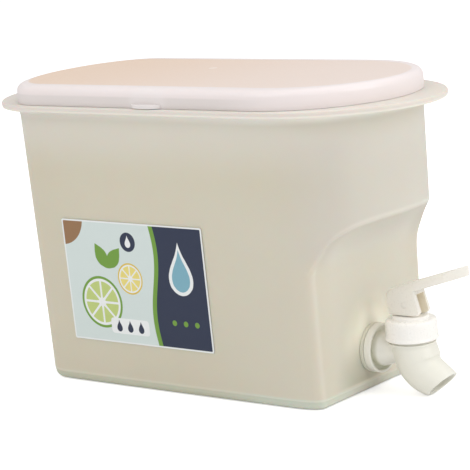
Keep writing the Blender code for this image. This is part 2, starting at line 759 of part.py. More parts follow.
def nut_hexagon():
    """The nut's six flats, with chamfered corners at the end away from its flange."""
    corner_radius = NUT_ACROSS_FLATS / 2 / math.cos(math.pi / 6)
    back = NUT_FACE - NUT_THICKNESS
    front = NUT_FACE - GAP
    hexagon = turned([(0, back), (corner_radius, back), (corner_radius, front), (0, front)], sides=6)
    rim = []
    for edge in hexagon.edges:
        if all(abs(v.co.z - back) < GAP and v.co.xy.length > 0 for v in edge.verts):
            rim.append(edge)
    chamfer = (corner_radius - NUT_ACROSS_FLATS / 2) / 2
    bmesh.ops.bevel(hexagon, geom=rim, offset=chamfer, segments=1, affect="EDGES")
    return hexagon


def make_bonnet(material):
    inner = NECK_RADIUS + BONNET_THREAD_FIT
    hole = STEM_RADIUS + GAP
    bead = BONNET_RADIUS + BONNET_BEAD
    edge = BONNET_EDGE_RADIUS
    profile = [
        (inner, BONNET_RIM),
        (BONNET_RADIUS, BONNET_RIM),
        (bead, BONNET_RIM + BONNET_BEAD),
        (bead, BONNET_RIM + BONNET_BEAD_HEIGHT - BONNET_BEAD),
        (BONNET_RADIUS, BONNET_RIM + BONNET_BEAD_HEIGHT),
    ]
    for angle in quarter(3):
        radius = BONNET_TOP_RADIUS - edge * (1 - math.cos(angle))
        profile.append((radius, BONNET_TOP - edge * (1 - math.sin(angle))))
    profile += [
        (BONNET_PAD_RADIUS, BONNET_TOP),
        (BONNET_PAD_RADIUS - BONNET_BEAD, PAD_TOP),
        (hole, PAD_TOP),
        (hole, BONNET_CEILING),
        (inner, BONNET_CEILING),
    ]
    bm = turned(profile, closed=True)
    bm.transform(Matrix.Translation((BARREL_X, 0, 0)))
    return make_object("bonnet", bm, material)


def make_seat_cup(material):
    """The soft bell that closes the seat and keeps the bonnet dry."""
    pocket = STEM_FOOT_RADIUS + GAP
    throat = STEM_RADIUS + GAP
    outer = [
        (0, CUP_BOTTOM),
        (CUP_PLUG_RADIUS, CUP_BOTTOM),
        (CUP_PLUG_RADIUS, POCKET_TOP),
        (CUP_TOP_RADIUS, CUP_FLANGE_BOTTOM),
        (CUP_FLANGE_RADIUS, CUP_FLANGE_BOTTOM),
        (CUP_FLANGE_RADIUS, CUP_FLANGE_BOTTOM + CUP_FLANGE_THICKNESS),
        (CUP_TOP_RADIUS - CUP_WALL, CUP_FLANGE_BOTTOM + CUP_FLANGE_THICKNESS),
        (CUP_PLUG_RADIUS - CUP_WALL, POCKET_TOP),
        (throat, POCKET_TOP),
        (throat, POCKET_TOP - CUP_POCKET_LIP),
        (pocket, POCKET_TOP - CUP_POCKET_LIP),
        (pocket, CUP_INNER_FLOOR),
        (0, CUP_INNER_FLOOR),
    ]
    bm = turned(outer, sides=32)
    bm.transform(Matrix.Translation((BARREL_X, 0, 0)))
    return make_object("seat_cup", bm, material)


def make_valve_stem(material):
    rod = turned([
        (0, STEM_FOOT_BOTTOM),
        (STEM_FOOT_RADIUS, STEM_FOOT_BOTTOM),
        (STEM_FOOT_RADIUS, STEM_FOOT_TOP),
        (STEM_RADIUS, STEM_FOOT_TOP),
        (STEM_RADIUS, PIN_Z),
        (0, PIN_Z),
    ], sides=24)
    rod.transform(Matrix.Translation((BARREL_X, 0, 0)))
    stem = make_object("valve_stem", rod, material)
    half = STEM_EYE_WIDTH / 2
    eye = solid_cylinder(STEM_EYE_RADIUS, (PIN_X, -half, PIN_Z), (PIN_X, half, PIN_Z), sides=32)
    combine(stem, make_object("eye", eye), "UNION")
    reach = half + CUT_OVERRUN
    hole = solid_cylinder(PIN_RADIUS + GAP, (PIN_X, -reach, PIN_Z), (PIN_X, reach, PIN_Z), sides=24)
    combine(stem, make_object("eye_hole", hole), "DIFFERENCE")
    return stem


def make_valve_spring(material):
    """A compression spring as one unbroken wire, from the cup's pocket lip to the bonnet's ceiling."""
    low = POCKET_TOP + GAP + SPRING_WIRE_RADIUS
    high = BONNET_CEILING - GAP - SPRING_WIRE_RADIUS
    steps = SPRING_TURNS * SPRING_POINTS_PER_TURN
    points = []
    for i in range(steps + 1):
        angle = math.tau * i / SPRING_POINTS_PER_TURN
        x = BARREL_X + SPRING_COIL_RADIUS * math.cos(angle)
        points.append(Vector((x, SPRING_COIL_RADIUS * math.sin(angle), low + (high - low) * i / steps)))
    turn_gap = (points[SPRING_POINTS_PER_TURN] - points[0]).length - 2 * SPRING_WIRE_RADIUS
    print(f"valve_spring: least gap between turns {turn_gap * 1000:.2f} mm")
    curve = bpy.data.curves.new("valve_spring", "CURVE")
    curve.dimensions = "3D"
    curve.bevel_depth = SPRING_WIRE_RADIUS
    curve.bevel_resolution = 1
    curve.use_fill_caps = True
    spline = curve.splines.new("POLY")
    spline.points.add(len(points) - 1)
    for target, point in zip(spline.points, points):
        target.co = (*point, 1)
    curve.materials.append(material)
    spring = bpy.data.objects.new("valve_spring", curve)
    bpy.context.scene.collection.objects.link(spring)
    return spring


def cam_point(turn):
    """The cheek's edge that bears on the bonnet once the lever has turned by an angle."""
    rise = PIN_RISE + LIFT_PER_RADIAN * turn
    x = rise * math.sin(turn) + LIFT_PER_RADIAN * math.cos(turn)
    z = -rise * math.cos(turn) + LIFT_PER_RADIAN * math.sin(turn)
    return Vector((x, z))


def hood_back(foot, crown):
    """The round back of the hood, from the cheek's foot up to the crown."""
    low = Vector((-HOOD_BACK_LOWER_REACH, HOOD_BACK_LOWER_HEIGHT))
    high = Vector((-HOOD_BACK_UPPER_REACH, HOOD_BACK_UPPER_HEIGHT))
    points = []
    for i in range(1, HOOD_BACK_STEPS):
        share = i / HOOD_BACK_STEPS
        start = foot.lerp(low, share)
        middle = low.lerp(high, share)
        end = high.lerp(crown, share)
        points.append(start.lerp(middle, share).lerp(middle.lerp(end, share), share))
    return points


def lever_outline():
    """The lever's side view about its pin, as points with the share of the edge rounding at each."""
    slope = math.tan(PADDLE_RISE_ANGLE)
    across = Vector((0, PADDLE_THICKNESS / math.cos(PADDLE_RISE_ANGLE)))
    neck = Vector((LEVER_NECK_REACH, LEVER_NECK_HEIGHT))
    nose_run = PADDLE_REACH - PADDLE_NOSE_LENGTH - neck.x
    nose = neck + Vector((nose_run, nose_run * slope))
    tip = nose + Vector((PADDLE_NOSE_LENGTH, PADDLE_NOSE_LENGTH * slope))
    crown_run = -LEVER_CROWN_BACK - neck.x
    crown = neck + Vector((crown_run, crown_run * slope)) + across
    foot = Vector((-CHEEK_BACK_FOOT, -PIN_RISE))
    lower = [foot]
    lower += [cam_point(LEVER_TRAVEL * i / CAM_STEPS) for i in range(CAM_STEPS + 1)]
    lower += [Vector((CHEEK_TOE_REACH, -CHEEK_TOE_DROP)), neck, nose, tip]
    upper = [tip + across, nose + across, neck + across, crown] + list(reversed(hood_back(foot, crown)))
    return [(point, LOWER_EDGE_ROUND_SHARE) for point in lower] + [(point, 1) for point in upper]


def shrink(outline, distance):
    """Moves an outline's points inwards, each along the line that halves its corner."""
    moved = []
    for i, (here, share) in enumerate(outline):
        before = outline[i - 1][0]
        after = outline[(i + 1) % len(outline)][0]
        first = (here - before).normalized()
        second = (after - here).normalized()
        inward = (first.orthogonal() + second.orthogonal()).normalized()
        moved.append(here + inward * distance * share)
    return moved


def lever_half_width(x, z):
    """Half the lever's width: the hood narrows upwards and runs into the paddle's own width."""
    crown_height = LEVER_NECK_HEIGHT + PADDLE_THICKNESS
    up = min(max((z + PIN_RISE) / (crown_height + PIN_RISE), 0), 1)
    hood = LEVER_HALF_WIDTH + (HOOD_TOP_HALF_WIDTH - LEVER_HALF_WIDTH) * up
    beyond = min(max((x - LEVER_NECK_REACH) / PADDLE_NOSE_LENGTH, 0), 1)
    return hood + (PADDLE_HALF_WIDTH - hood) * beyond


def lever_layer(outline, side_share, inset):
    """One slice of the lever, at a share of its half width to either side."""
    layer = []
    nose_start = PADDLE_REACH - PADDLE_NOSE_LENGTH
    for point in shrink(outline, inset):
        x, z = point
        if x > nose_start:
            drawn_back = PADDLE_NOSE_ROUND_SHARE * abs(side_share) ** PADDLE_NOSE_POWER
            x = nose_start + (x - nose_start) * (1 - drawn_back)
            z -= (point.x - x) * math.tan(PADDLE_RISE_ANGLE)
        layer.append(Vector((PIN_X + x, side_share * lever_half_width(point.x, point.y), PIN_Z + z)))
    return layer


def make_lever(material):
    outline = lever_outline()
    edge = LEVER_EDGE_ROUND
    shares = []
    for angle in quarter(LEVER_EDGE_STEPS)[:-1]:
        shares.append((1 - edge * (1 - math.cos(angle)) / LEVER_HALF_WIDTH, edge * (1 - math.sin(angle))))
    shares += [(share, 0) for share in LEVER_SLICE_SHARES]
    layers = [lever_layer(outline, share, inset) for share, inset in shares]
    layers.append(lever_layer(outline, 0, 0))
    layers += [lever_layer(outline, -share, inset) for share, inset in reversed(shares)]
    lever = make_object("lever", loft(layers), material)
    for name, tool in lever_cuts():
        combine(lever, make_object(name, tool), "DIFFERENCE")
    return lever


def lever_cuts():
    """The slot for the stem, the hollow under the paddle and the hole for the pin."""
    low = (PIN_X - SLOT_BACK, -SLOT_HALF_WIDTH, PIN_Z - PIN_RISE - CUT_OVERRUN)
    high = (PIN_X + CHEEK_TOE_REACH + CUT_OVERRUN, SLOT_HALF_WIDTH, PIN_Z + SLOT_HEIGHT)
    across = PADDLE_THICKNESS - PADDLE_WEB
    half = PADDLE_HALF_WIDTH - PADDLE_SIDE_WALL
    length = (PADDLE_REACH - PADDLE_HOLLOW_END - LEVER_NECK_REACH) / math.cos(PADDLE_RISE_ANGLE)
    hollow = block((PADDLE_SIDE_WALL, -half, -CUT_OVERRUN), (length, half, across))
    root = Vector((PIN_X + LEVER_NECK_REACH, 0, PIN_Z + LEVER_NECK_HEIGHT))
    hollow.transform(Matrix.Translation(root) @ Matrix.Rotation(-PADDLE_RISE_ANGLE, 4, "Y"))
    reach = LEVER_HALF_WIDTH + CUT_OVERRUN
    hole = solid_cylinder(PIN_RADIUS + GAP, (PIN_X, -reach, PIN_Z), (PIN_X, reach, PIN_Z), sides=24)
    return [("slot", block(low, high)), ("hollow", hollow), ("pin_hole", hole)]


def make_lever_pin(material):
    half = lever_half_width(0, 0) - GAP
    bm = solid_cylinder(PIN_RADIUS, (PIN_X, -half, PIN_Z), (PIN_X, half, PIN_Z), sides=20)
    return make_object("lever_pin", bm, material)


def make_label(material):
    """The paper label, laid against the drafted near side."""
    lean = math.atan((TANK_TOP_HALF_WIDTH - TANK_BASE_HALF_WIDTH) / FLANGE_UNDERSIDE)
    half_length = LABEL_LENGTH / 2
    half_height = LABEL_HEIGHT / 2
    bm = block((-half_length, -GAP - LABEL_THICKNESS, -half_height), (half_length, -GAP, half_height))
    label = make_object("label_sheet", bm, material)
    label.location = (LABEL_CENTRE_X, -wall_plan(LABEL_CENTRE_Z).half_width, LABEL_CENTRE_Z)
    label.rotation_euler = (lean, 0, 0)
    return label


def set_origin(thing, point):
    """Puts an object's origin on a point, such as its joint's axis, with its shape left in place."""
    thing.data.transform(Matrix.Translation(-Vector(point)))
    thing.location = point


def build():
    clear_scene()
    frosted = make_material("frosted_plastic", (0.62, 0.60, 0.54), 0.45, transmission=0.1)
    lid_plastic = make_material("lid_plastic", (0.82, 0.73, 0.68), 0.4)
    white = make_material("white_plastic", (0.85, 0.82, 0.76), 0.35)
    rubber = make_material("clear_rubber", (0.75, 0.75, 0.72), 0.5)
    steel = make_material("spring_steel", (0.6, 0.6, 0.6), 0.3, metallic=1.0)
    paper = make_material("label_paper", (0.70, 0.74, 0.74), 0.45)
    things = [
        make_tank(frosted),
        make_lid(lid_plastic),
        make_tap_body(white),
        make_washer("outer_washer", WASHER_FACE, 1, rubber),
        make_washer("inner_washer", INNER_WASHER_FACE, -1, rubber),
        make_lock_nut(white),
        make_bonnet(white),
        make_seat_cup(rubber),
        make_valve_stem(white),
        make_valve_spring(steel),
        make_lever(white),
        make_lever_pin(white),
        make_label(paper),
    ]
    for thing in things:
        if thing.type == "MESH":
            shade(thing)
    by_name = {thing.name: thing for thing in things}
    set_origin(by_name["lever"], (PIN_X, 0, PIN_Z))
    set_origin(by_name["lever_pin"], (PIN_X, 0, PIN_Z))
    set_origin(by_name["valve_stem"], (BARREL_X, 0, STEM_FOOT_BOTTOM))
    centre_on_origin(things)


def centre_on_origin(things):
    """Hangs every piece on one empty, which puts the middle of the overall length at X = 0."""
    bpy.context.view_layer.update()
    corners = [thing.matrix_world @ Vector(corner) for thing in things for corner in thing.bound_box]
    middle = (min(c.x for c in corners) + max(c.x for c in corners)) / 2
    holder = bpy.data.objects.new("dispenser", None)
    bpy.context.scene.collection.objects.link(holder)
    for thing in things:
        thing.parent = holder
    holder.location.x = -middle
    bpy.context.view_layer.update()
    print(f"centre line at x = {-middle * 1000:.3f} mm")
    print(f"pin at x {(PIN_X - middle) * 1000:.3f}, z {PIN_Z * 1000:.3f} mm")


build()
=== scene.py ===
# %% [markdown]
# # A slim drink dispenser with a press-on lid and a lever tap
# The real thing is a frosted plastic tank that stands on a fridge shelf.
# A lid presses onto its rim, two hands can carry it by its broad flange, and a tap sits in a recess at its front.
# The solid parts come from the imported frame. Each cell after this dresses one piece or makes one finish.

# %% Load the frame
import bpy
import bmesh
import math
from mathutils import Matrix, Vector


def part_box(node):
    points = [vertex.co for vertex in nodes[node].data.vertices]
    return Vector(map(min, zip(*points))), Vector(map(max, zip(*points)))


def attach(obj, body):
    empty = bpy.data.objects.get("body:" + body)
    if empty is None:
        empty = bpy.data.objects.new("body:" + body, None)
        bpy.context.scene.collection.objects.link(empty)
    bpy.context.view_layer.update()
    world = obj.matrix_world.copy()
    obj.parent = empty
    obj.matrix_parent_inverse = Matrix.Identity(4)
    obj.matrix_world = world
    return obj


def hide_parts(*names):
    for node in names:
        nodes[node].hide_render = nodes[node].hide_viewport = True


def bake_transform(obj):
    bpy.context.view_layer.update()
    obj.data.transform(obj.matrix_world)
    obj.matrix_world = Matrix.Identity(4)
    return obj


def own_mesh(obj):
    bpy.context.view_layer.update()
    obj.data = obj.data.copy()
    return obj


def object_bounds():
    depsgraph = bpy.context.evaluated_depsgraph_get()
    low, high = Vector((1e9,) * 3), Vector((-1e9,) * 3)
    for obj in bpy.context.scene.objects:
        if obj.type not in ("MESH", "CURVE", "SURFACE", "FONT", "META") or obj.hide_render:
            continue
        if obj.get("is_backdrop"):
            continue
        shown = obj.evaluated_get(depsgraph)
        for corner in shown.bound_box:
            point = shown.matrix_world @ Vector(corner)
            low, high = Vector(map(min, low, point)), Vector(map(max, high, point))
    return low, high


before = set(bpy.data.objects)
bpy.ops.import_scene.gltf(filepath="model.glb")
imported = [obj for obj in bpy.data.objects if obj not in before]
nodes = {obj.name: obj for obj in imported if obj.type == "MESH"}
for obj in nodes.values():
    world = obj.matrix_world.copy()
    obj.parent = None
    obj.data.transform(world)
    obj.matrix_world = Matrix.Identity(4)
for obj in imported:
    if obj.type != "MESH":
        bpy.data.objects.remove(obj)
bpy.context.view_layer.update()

# %% [markdown]
# ## Sizes
# The tank and the lid are drawn round the tank's middle. It lies 7 mm behind the middle of the whole object,
# because the tap reaches out at the front. The tap's own places count from the middle of the whole object.

# %% Sizes that several pieces share
TANK_SHIFT = -0.007
LID_TOP = 0.172
TAP_HEIGHT = 0.0232
BARREL_X = 0.1108

# %% [markdown]
# ## Camera
# A product photo of this kind is taken with a long lens, a little from above and from the tap's side.
# Place, turn and focal length were found by laying the solid's outlines over the photograph's.

# %% Camera
PHOTO_SIZE = 470
SENSOR_WIDTH = 36


def aim_camera(place, turn, height, roll, focal_pixels):
    """A camera at a place in metres, turned by three angles in degrees."""
    turn, height, roll = (math.radians(angle) for angle in (turn, height, roll))
    forward = Vector((-math.sin(turn) * math.cos(height), math.cos(turn) * math.cos(height), -math.sin(height)))
    right = Vector((math.cos(turn), math.sin(turn), 0))
    up = right.cross(forward)
    rolled_right = math.cos(roll) * right + math.sin(roll) * up
    rolled_up = math.cos(roll) * up - math.sin(roll) * right
    pose = Matrix((rolled_right, rolled_up, -forward)).transposed().to_4x4()
    pose.translation = Vector(place)
    data = bpy.data.cameras.new("photo_camera")
    data.sensor_width = SENSOR_WIDTH
    data.lens = focal_pixels / PHOTO_SIZE * SENSOR_WIDTH
    data.clip_start = 0.01
    camera = bpy.data.objects.new("photo_camera", data)
    camera.matrix_world = pose
    bpy.context.scene.collection.objects.link(camera)
    bpy.context.scene.camera = camera
    return camera


camera = aim_camera(
    place=(0.7369, -0.91034, 0.31399), turn=39.17, height=11.28, roll=-4.84, focal_pixels=2127.66)
print("camera: lens", round(camera.data.lens, 1), "mm")

# %% [markdown]
# ## Editing by code
# In Blender's window a modeller clicks faces and runs a tool on them. These helpers do the clicking,
# so that each piece can be built from the same tools: extrude, inset, bevel, resize.

# %% Editing helpers
def deselect_all():
    """Leaves edit mode and selects nothing."""
    if bpy.context.object and bpy.context.object.mode != "OBJECT":
        bpy.ops.object.mode_set(mode="OBJECT")
    bpy.ops.object.select_all(action="DESELECT")


def start_primitive(name, add, scale=(1, 1, 1), **settings):
    """Adds a primitive at its true size and place, and opens it in edit mode with all of it selected."""
    deselect_all()
    add(**settings)
    piece = bpy.context.object
    piece.name = piece.data.name = name
    piece.scale = scale
    bpy.ops.object.transform_apply(location=True, rotation=True, scale=True)
    bpy.ops.object.mode_set(mode="EDIT")
    bpy.ops.mesh.select_mode(type="VERT")
    bpy.ops.mesh.select_all(action="SELECT")
    return piece


def pick(piece, kind, test):
    """Selects only the vertices, edges or faces that pass a test, and counts them."""
    bpy.ops.mesh.select_mode(type=kind)
    bpy.ops.mesh.select_all(action="DESELECT")
    mesh = bmesh.from_edit_mesh(piece.data)
    chosen = [item for item in {"VERT": mesh.verts, "EDGE": mesh.edges, "FACE": mesh.faces}[kind] if test(item)]
    for item in chosen:
        item.select_set(True)
    mesh.select_flush_mode()
    bmesh.update_edit_mesh(piece.data)
    return len(chosen)


def finish_mesh(piece, material, angle=32):
    """Closes edit mode, settles the piece at the origin, shades it smooth up to an angle and gives it its material."""
    bpy.ops.object.mode_set(mode="OBJECT")
    bpy.ops.object.transform_apply(location=True, rotation=True, scale=True)
    bpy.ops.object.shade_smooth_by_angle(angle=math.radians(angle))
    piece.data.materials.clear()
    piece.data.materials.append(material)
    print(piece.name, "has", len(piece.data.polygons), "faces")


def use_modifier(piece, kind, **settings):
    """Adds a modifier, applies it and opens the piece in edit mode."""
    bpy.ops.object.mode_set(mode="OBJECT")
    modifier = piece.modifiers.new(kind.lower(), kind)
    for key, value in settings.items():
        setattr(modifier, key, value)
    bpy.ops.object.modifier_apply(modifier=modifier.name)
    bpy.ops.object.mode_set(mode="EDIT")


# %% [markdown]
# ## Floor and light
# The photograph has a white sweep and light from all sides, so no shadow has a hard edge. A pale floor, a white room
# and three large soft lamps do the same. For the camera alone the floor and the room shine more, as a light table
# does, so they turn white in the picture without throwing more light on the object.

# %% Floor and light
FLOOR_COLOUR = (0.90, 0.90, 0.90, 1)
WHITE = (1, 1, 1, 1)
FLOOR_GLOW = 0.5
ROOM_LIGHT = 0.62
ROOM_GLOW = 0.38
# Each lamp has a name, a place, an aim, a size in metres and a power in watts.
LAMPS = (
    ("key", (-0.5, -1.3, 1.5), (0, 0, 0.08), 1.2, 10),
    ("side", (1.6, 0.15, 1.0), (0, 0, 0.06), 1.0, 11),
    ("top", (0.2, 0.6, 1.8), (0, 0, 0.1), 1.6, 5),
)


def add_lamp(name, place, aim, size, power):
    """A square soft lamp that points at a place."""
    data = bpy.data.lights.new(name, "AREA")
    data.size = size
    data.energy = power
    lamp = bpy.data.objects.new(name, data)
    lamp.location = place
    lamp.rotation_euler = (Vector(aim) - Vector(place)).to_track_quat("-Z", "Y").to_euler()
    bpy.context.scene.collection.objects.link(lamp)


def add_node(tree, kind, values=None, **settings):
    """Adds a node, sets its options, and fills or links its inputs."""
    node = tree.nodes.new(kind)
    for key, value in settings.items():
        setattr(node, key, value)
    for key, value in (values or {}).items():
        if isinstance(value, bpy.types.NodeSocket):
            tree.links.new(value, node.inputs[key])
        else:
            node.inputs[key].default_value = value
    return node


def calculate(tree, operation, *values):
    """One step of arithmetic on numbers and sockets."""
    return add_node(tree, "ShaderNodeMath", dict(enumerate(values)), operation=operation).outputs[0]


def start_material(name):
    """A new material, its node tree and its shader."""
    material = bpy.data.materials.new(name)
    material.use_nodes = True
    return material, material.node_tree, material.node_tree.nodes["Principled BSDF"]


def strength_for_camera(tree, light, glow):
    """A strength for the light, with a glow on top that only the camera sees."""
    path = add_node(tree, "ShaderNodeLightPath")
    return calculate(tree, "MULTIPLY_ADD", path.outputs["Is Camera Ray"], glow, light)


def paint_floor():
    """A pale, dull sheet that fades to white for the camera."""
    material, tree, shader = start_material("floor_white")
    shader.inputs["Base Color"].default_value = FLOOR_COLOUR
    shader.inputs["Roughness"].default_value = 0.9
    shader.inputs["Emission Color"].default_value = WHITE
    tree.links.new(strength_for_camera(tree, 0.0, FLOOR_GLOW), shader.inputs["Emission Strength"])
    return material


deselect_all()
bpy.ops.mesh.primitive_plane_add(size=8, location=(0, 0, 0))
floor = bpy.context.object
floor.name = "floor"
floor.data.materials.append(paint_floor())
floor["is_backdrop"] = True

world = bpy.data.worlds.new("white_room")
world.use_nodes = True
background = world.node_tree.nodes["Background"]
background.inputs["Color"].default_value = WHITE
world.node_tree.links.new(strength_for_camera(world.node_tree, ROOM_LIGHT, ROOM_GLOW), background.inputs["Strength"])
bpy.context.scene.world = world
bpy.context.scene.view_settings.view_transform = "Standard"

for lamp in LAMPS:
    add_lamp(*lamp)

# %% [markdown]
# ## Moulded plastic
# Every rigid piece here is moulded plastic. Up close its colour is never quite even, and its skin has a faint grain.
# One node group makes both, and each material places it with its own colours and sizes.

# %% A node group for moulded plastic
CLOUD_EDGE = (0.35, 0.65)
GLOSS_RANGE = (-0.05, 0.05)


def start_group(name, inputs, outputs):
    """A node group with named sockets. Each input is a name, a kind and a first value."""
    group = bpy.data.node_groups.new(name, "ShaderNodeTree")
    for label, kind, value in inputs:
        socket = group.interface.new_socket(label, in_out="INPUT", socket_type="NodeSocket" + kind)
        if value is not None:
            socket.default_value = value
    for label, kind in outputs:
        group.interface.new_socket(label, in_out="OUTPUT", socket_type="NodeSocket" + kind)
    entry = group.nodes.new("NodeGroupInput")
    leave = group.nodes.new("NodeGroupOutput")
    return group, entry.outputs, leave


def fade(tree, value, start, end, first=0.0, last=1.0):
    """Goes softly from a first to a last number while the value goes from start to end."""
    return add_node(tree, "ShaderNodeMapRange", {
        "Value": value, "From Min": start, "From Max": end, "To Min": first, "To Max": last,
    }, interpolation_type="SMOOTHSTEP").outputs["Result"]


def vary(tree, noise, least, most):
    """Turns a noise, which lies mostly between 0.3 and 0.7, into a number between two others."""
    return add_node(tree, "ShaderNodeMapRange", {
        "Value": noise.outputs["Fac"], "From Min": 0.3, "From Max": 0.7, "To Min": least, "To Max": most,
    }).outputs["Result"]


def lay_over(tree, below, mask, colour):
    """Lays a colour over what is below it, as far as the mask goes from 0 to 1."""
    return add_node(tree, "ShaderNodeMix", {"Factor": mask, 6: below, 7: colour}, data_type="RGBA").outputs[2]


def make_plastic_group():
    """Clouds of a second colour over the first, and a fine grain that also varies the gloss."""
    group, given, leave = start_group("moulded_plastic", [
        ("Vector", "Vector", None), ("Colour", "Color", (0.8, 0.8, 0.8, 1)),
        ("Cloud Colour", "Color", (0.7, 0.7, 0.7, 1)), ("Cloud Size", "Float", 20.0), ("Cloud Amount", "Float", 0.5),
        ("Grain Size", "Float", 900.0), ("Gloss", "Float", 0.4),
    ], [("Colour", "Color"), ("Roughness", "Float"), ("Grain", "Float")])
    cloud = add_node(group, "ShaderNodeTexNoise", {
        "Vector": given["Vector"], "Scale": given["Cloud Size"], "Detail": 3.0, "Roughness": 0.45})
    amount = calculate(group, "MULTIPLY", fade(group, cloud.outputs["Fac"], *CLOUD_EDGE), given["Cloud Amount"])
    grain = add_node(group, "ShaderNodeTexNoise", {
        "Vector": given["Vector"], "Scale": given["Grain Size"], "Detail": 2.0, "Roughness": 0.6})
    gloss = calculate(group, "ADD", vary(group, grain, *GLOSS_RANGE), given["Gloss"])
    group.links.new(lay_over(group, given["Colour"], amount, given["Cloud Colour"]), leave.inputs["Colour"])
    group.links.new(gloss, leave.inputs["Roughness"])
    group.links.new(grain.outputs["Fac"], leave.inputs["Grain"])
    return group


plastic_group = make_plastic_group()
print("node group:", plastic_group.name, "with", len(plastic_group.nodes), "nodes")

# %% Materials from the group
POLISHED_GRAIN = 0.000004
SATIN_GRAIN = 0.00002


def make_plastic(name, colour, cloud, gloss, grain_depth, cloud_size, cloud_amount=0.5, soft=0.15, depth=0.004,
                 reach=(1.0, 0.9, 0.8)):
    """Places the group in a new material, which scatters a share of the light to some depth under its skin."""
    material, tree, shader = start_material(name)
    where = add_node(tree, "ShaderNodeTexCoord")
    plastic = add_node(tree, "ShaderNodeGroup", {
        "Vector": where.outputs["Object"], "Colour": (*colour, 1), "Cloud Colour": (*cloud, 1),
        "Cloud Size": cloud_size, "Cloud Amount": cloud_amount, "Gloss": gloss,
    }, node_tree=plastic_group)
    bump = add_node(tree, "ShaderNodeBump", {"Height": plastic.outputs["Grain"], "Distance": grain_depth})
    tree.links.new(plastic.outputs["Colour"], shader.inputs["Base Color"])
    tree.links.new(plastic.outputs["Roughness"], shader.inputs["Roughness"])
    tree.links.new(bump.outputs["Normal"], shader.inputs["Normal"])
    shader.inputs["Subsurface Weight"].default_value = soft
    shader.inputs["Subsurface Radius"].default_value = reach
    shader.inputs["Subsurface Scale"].default_value = depth
    return material


lid_plastic = make_plastic(
    "lid_plastic", (0.88, 0.80, 0.79), (0.85, 0.77, 0.75), 0.38, SATIN_GRAIN, 9, cloud_amount=0.6)
# The arm and the elbow are one moulding of one plastic, in two copies: the elbow's is darker, painted shade on its
# bend that faces down, and the arm's is lighter, painted light where the bonnet shades it. The bonnet's copy of the
# lever's plastic is lighter still, painted light.
shaded_elbow_plastic = make_plastic(
    "tap_elbow_plastic_painted_shade", (0.85, 0.835, 0.75), (0.82, 0.795, 0.705), 0.32, POLISHED_GRAIN, 40)
lit_arm_plastic = make_plastic(
    "tap_arm_plastic_painted_light", (0.96, 0.94, 0.86), (0.92, 0.89, 0.80), 0.32, POLISHED_GRAIN, 40)
bonnet_plastic_painted_light = make_plastic(
    "bonnet_plastic_painted_light", (1.0, 0.97, 0.92), (0.98, 0.95, 0.89), 0.30, POLISHED_GRAIN, 40)
tap_plastic = make_plastic(
    "tap_plastic", (0.92, 0.885, 0.81), (0.89, 0.85, 0.77), 0.30, POLISHED_GRAIN, 40)
washer_rubber = make_plastic(
    "washer_rubber", (0.84, 0.82, 0.70), (0.78, 0.75, 0.62), 0.55, SATIN_GRAIN, 60, soft=0.3)
print("plastics:", lid_plastic.name, shaded_elbow_plastic.name, tap_plastic.name, washer_rubber.name)

# %% [markdown]
# ## Soft colour zones
# Thin plastic lets some of the light and colour behind it through, so one moulding looks warm here and pale there.
# Many zones are painted light and shade: tints that make a place lighter or darker where light or shade falls on it.
# Each zone is a soft tint in the material. It is written as one row: a share, a colour and its bounds. A bound
# names a measure of the point on the skin, such as its x or z or how far it is from a spot, and says between which
# two values of it the tint fades in.

# %% Zones and the lid's tints
THUMB_TAB = (-0.0092, -0.0609, 0.1628)
PALE_SPOT_PLACE = (-0.0233, 0.0158, LID_TOP)
# The lid's top is painted warm, partly its own tint and partly painted light: warmest at the back, paler towards the
# front.
# Its round edge stays pale, so the step to the warm top and the grey skirt paints a highlight on that edge.
# The skirt's lower part is painted shade, less of it towards the front. Round the thumb tab the skirt is painted
# lighter, painted light against the tab's shadow. A small pale spot sits on the top.
LID_ZONES = {
    "top_tint_and_edge_highlight": (1.0, (0.832, 0.632, 0.486), ("x", -0.13, 0.11, 1.0, 0.45), ("z", 0.1719, 0.17199)),
    "skirt": (1.0, (0.77, 0.71, 0.69), ("x", 0.08, 0.03), ("z", 0.1678, 0.1664)),
    "thumb_tab": (0.45, (0.88, 0.83, 0.82), ("tab", 0.016, 0.009)),
    "gate_mark": (0.6, (0.97, 0.88, 0.82), ("gate", 0.0028, 0.0022)),
}


def calculate_vector(tree, operation, *values, out="Vector"):
    """One step of arithmetic on vectors."""
    return add_node(tree, "ShaderNodeVectorMath", dict(enumerate(values)), operation=operation).outputs[out]


def find_measures(tree, **spots):
    """Where a point of the skin is: its place, that place's parts, and how far it is from each named spot."""
    place = add_node(tree, "ShaderNodeTexCoord").outputs["Object"]
    axes = add_node(tree, "ShaderNodeSeparateXYZ", {"Vector": place}).outputs
    measures = {"place": place, "x": axes["X"], "y": axes["Y"], "z": axes["Z"]}
    for name, spot in spots.items():
        measures[name] = calculate_vector(tree, "DISTANCE", place, spot, out="Value")
    return measures


def zone_mask(tree, measures, share, bounds):
    """A share where every bound holds. A bound's two last numbers, if given, are its first and last factor."""
    mask = share
    for name, *span in bounds:
        factor = fade(tree, measures[name], *span) if span else measures[name]
        mask = calculate(tree, "MULTIPLY", mask, factor)
    return mask


def paint_zones(tree, measures, zones):
    """Lays the zones' colours over a finished material, one after the other."""
    base = tree.nodes["Principled BSDF"].inputs["Base Color"]
    colour = base.links[0].from_socket
    for share, tone, *bounds in zones.values():
        colour = lay_over(tree, colour, zone_mask(tree, measures, share, bounds), (*tone, 1))
    tree.links.new(colour, base)


lid_tree = lid_plastic.node_tree
paint_zones(lid_tree, find_measures(lid_tree, tab=THUMB_TAB, gate=PALE_SPOT_PLACE), LID_ZONES)
print("zones on the lid:", ", ".join(LID_ZONES))

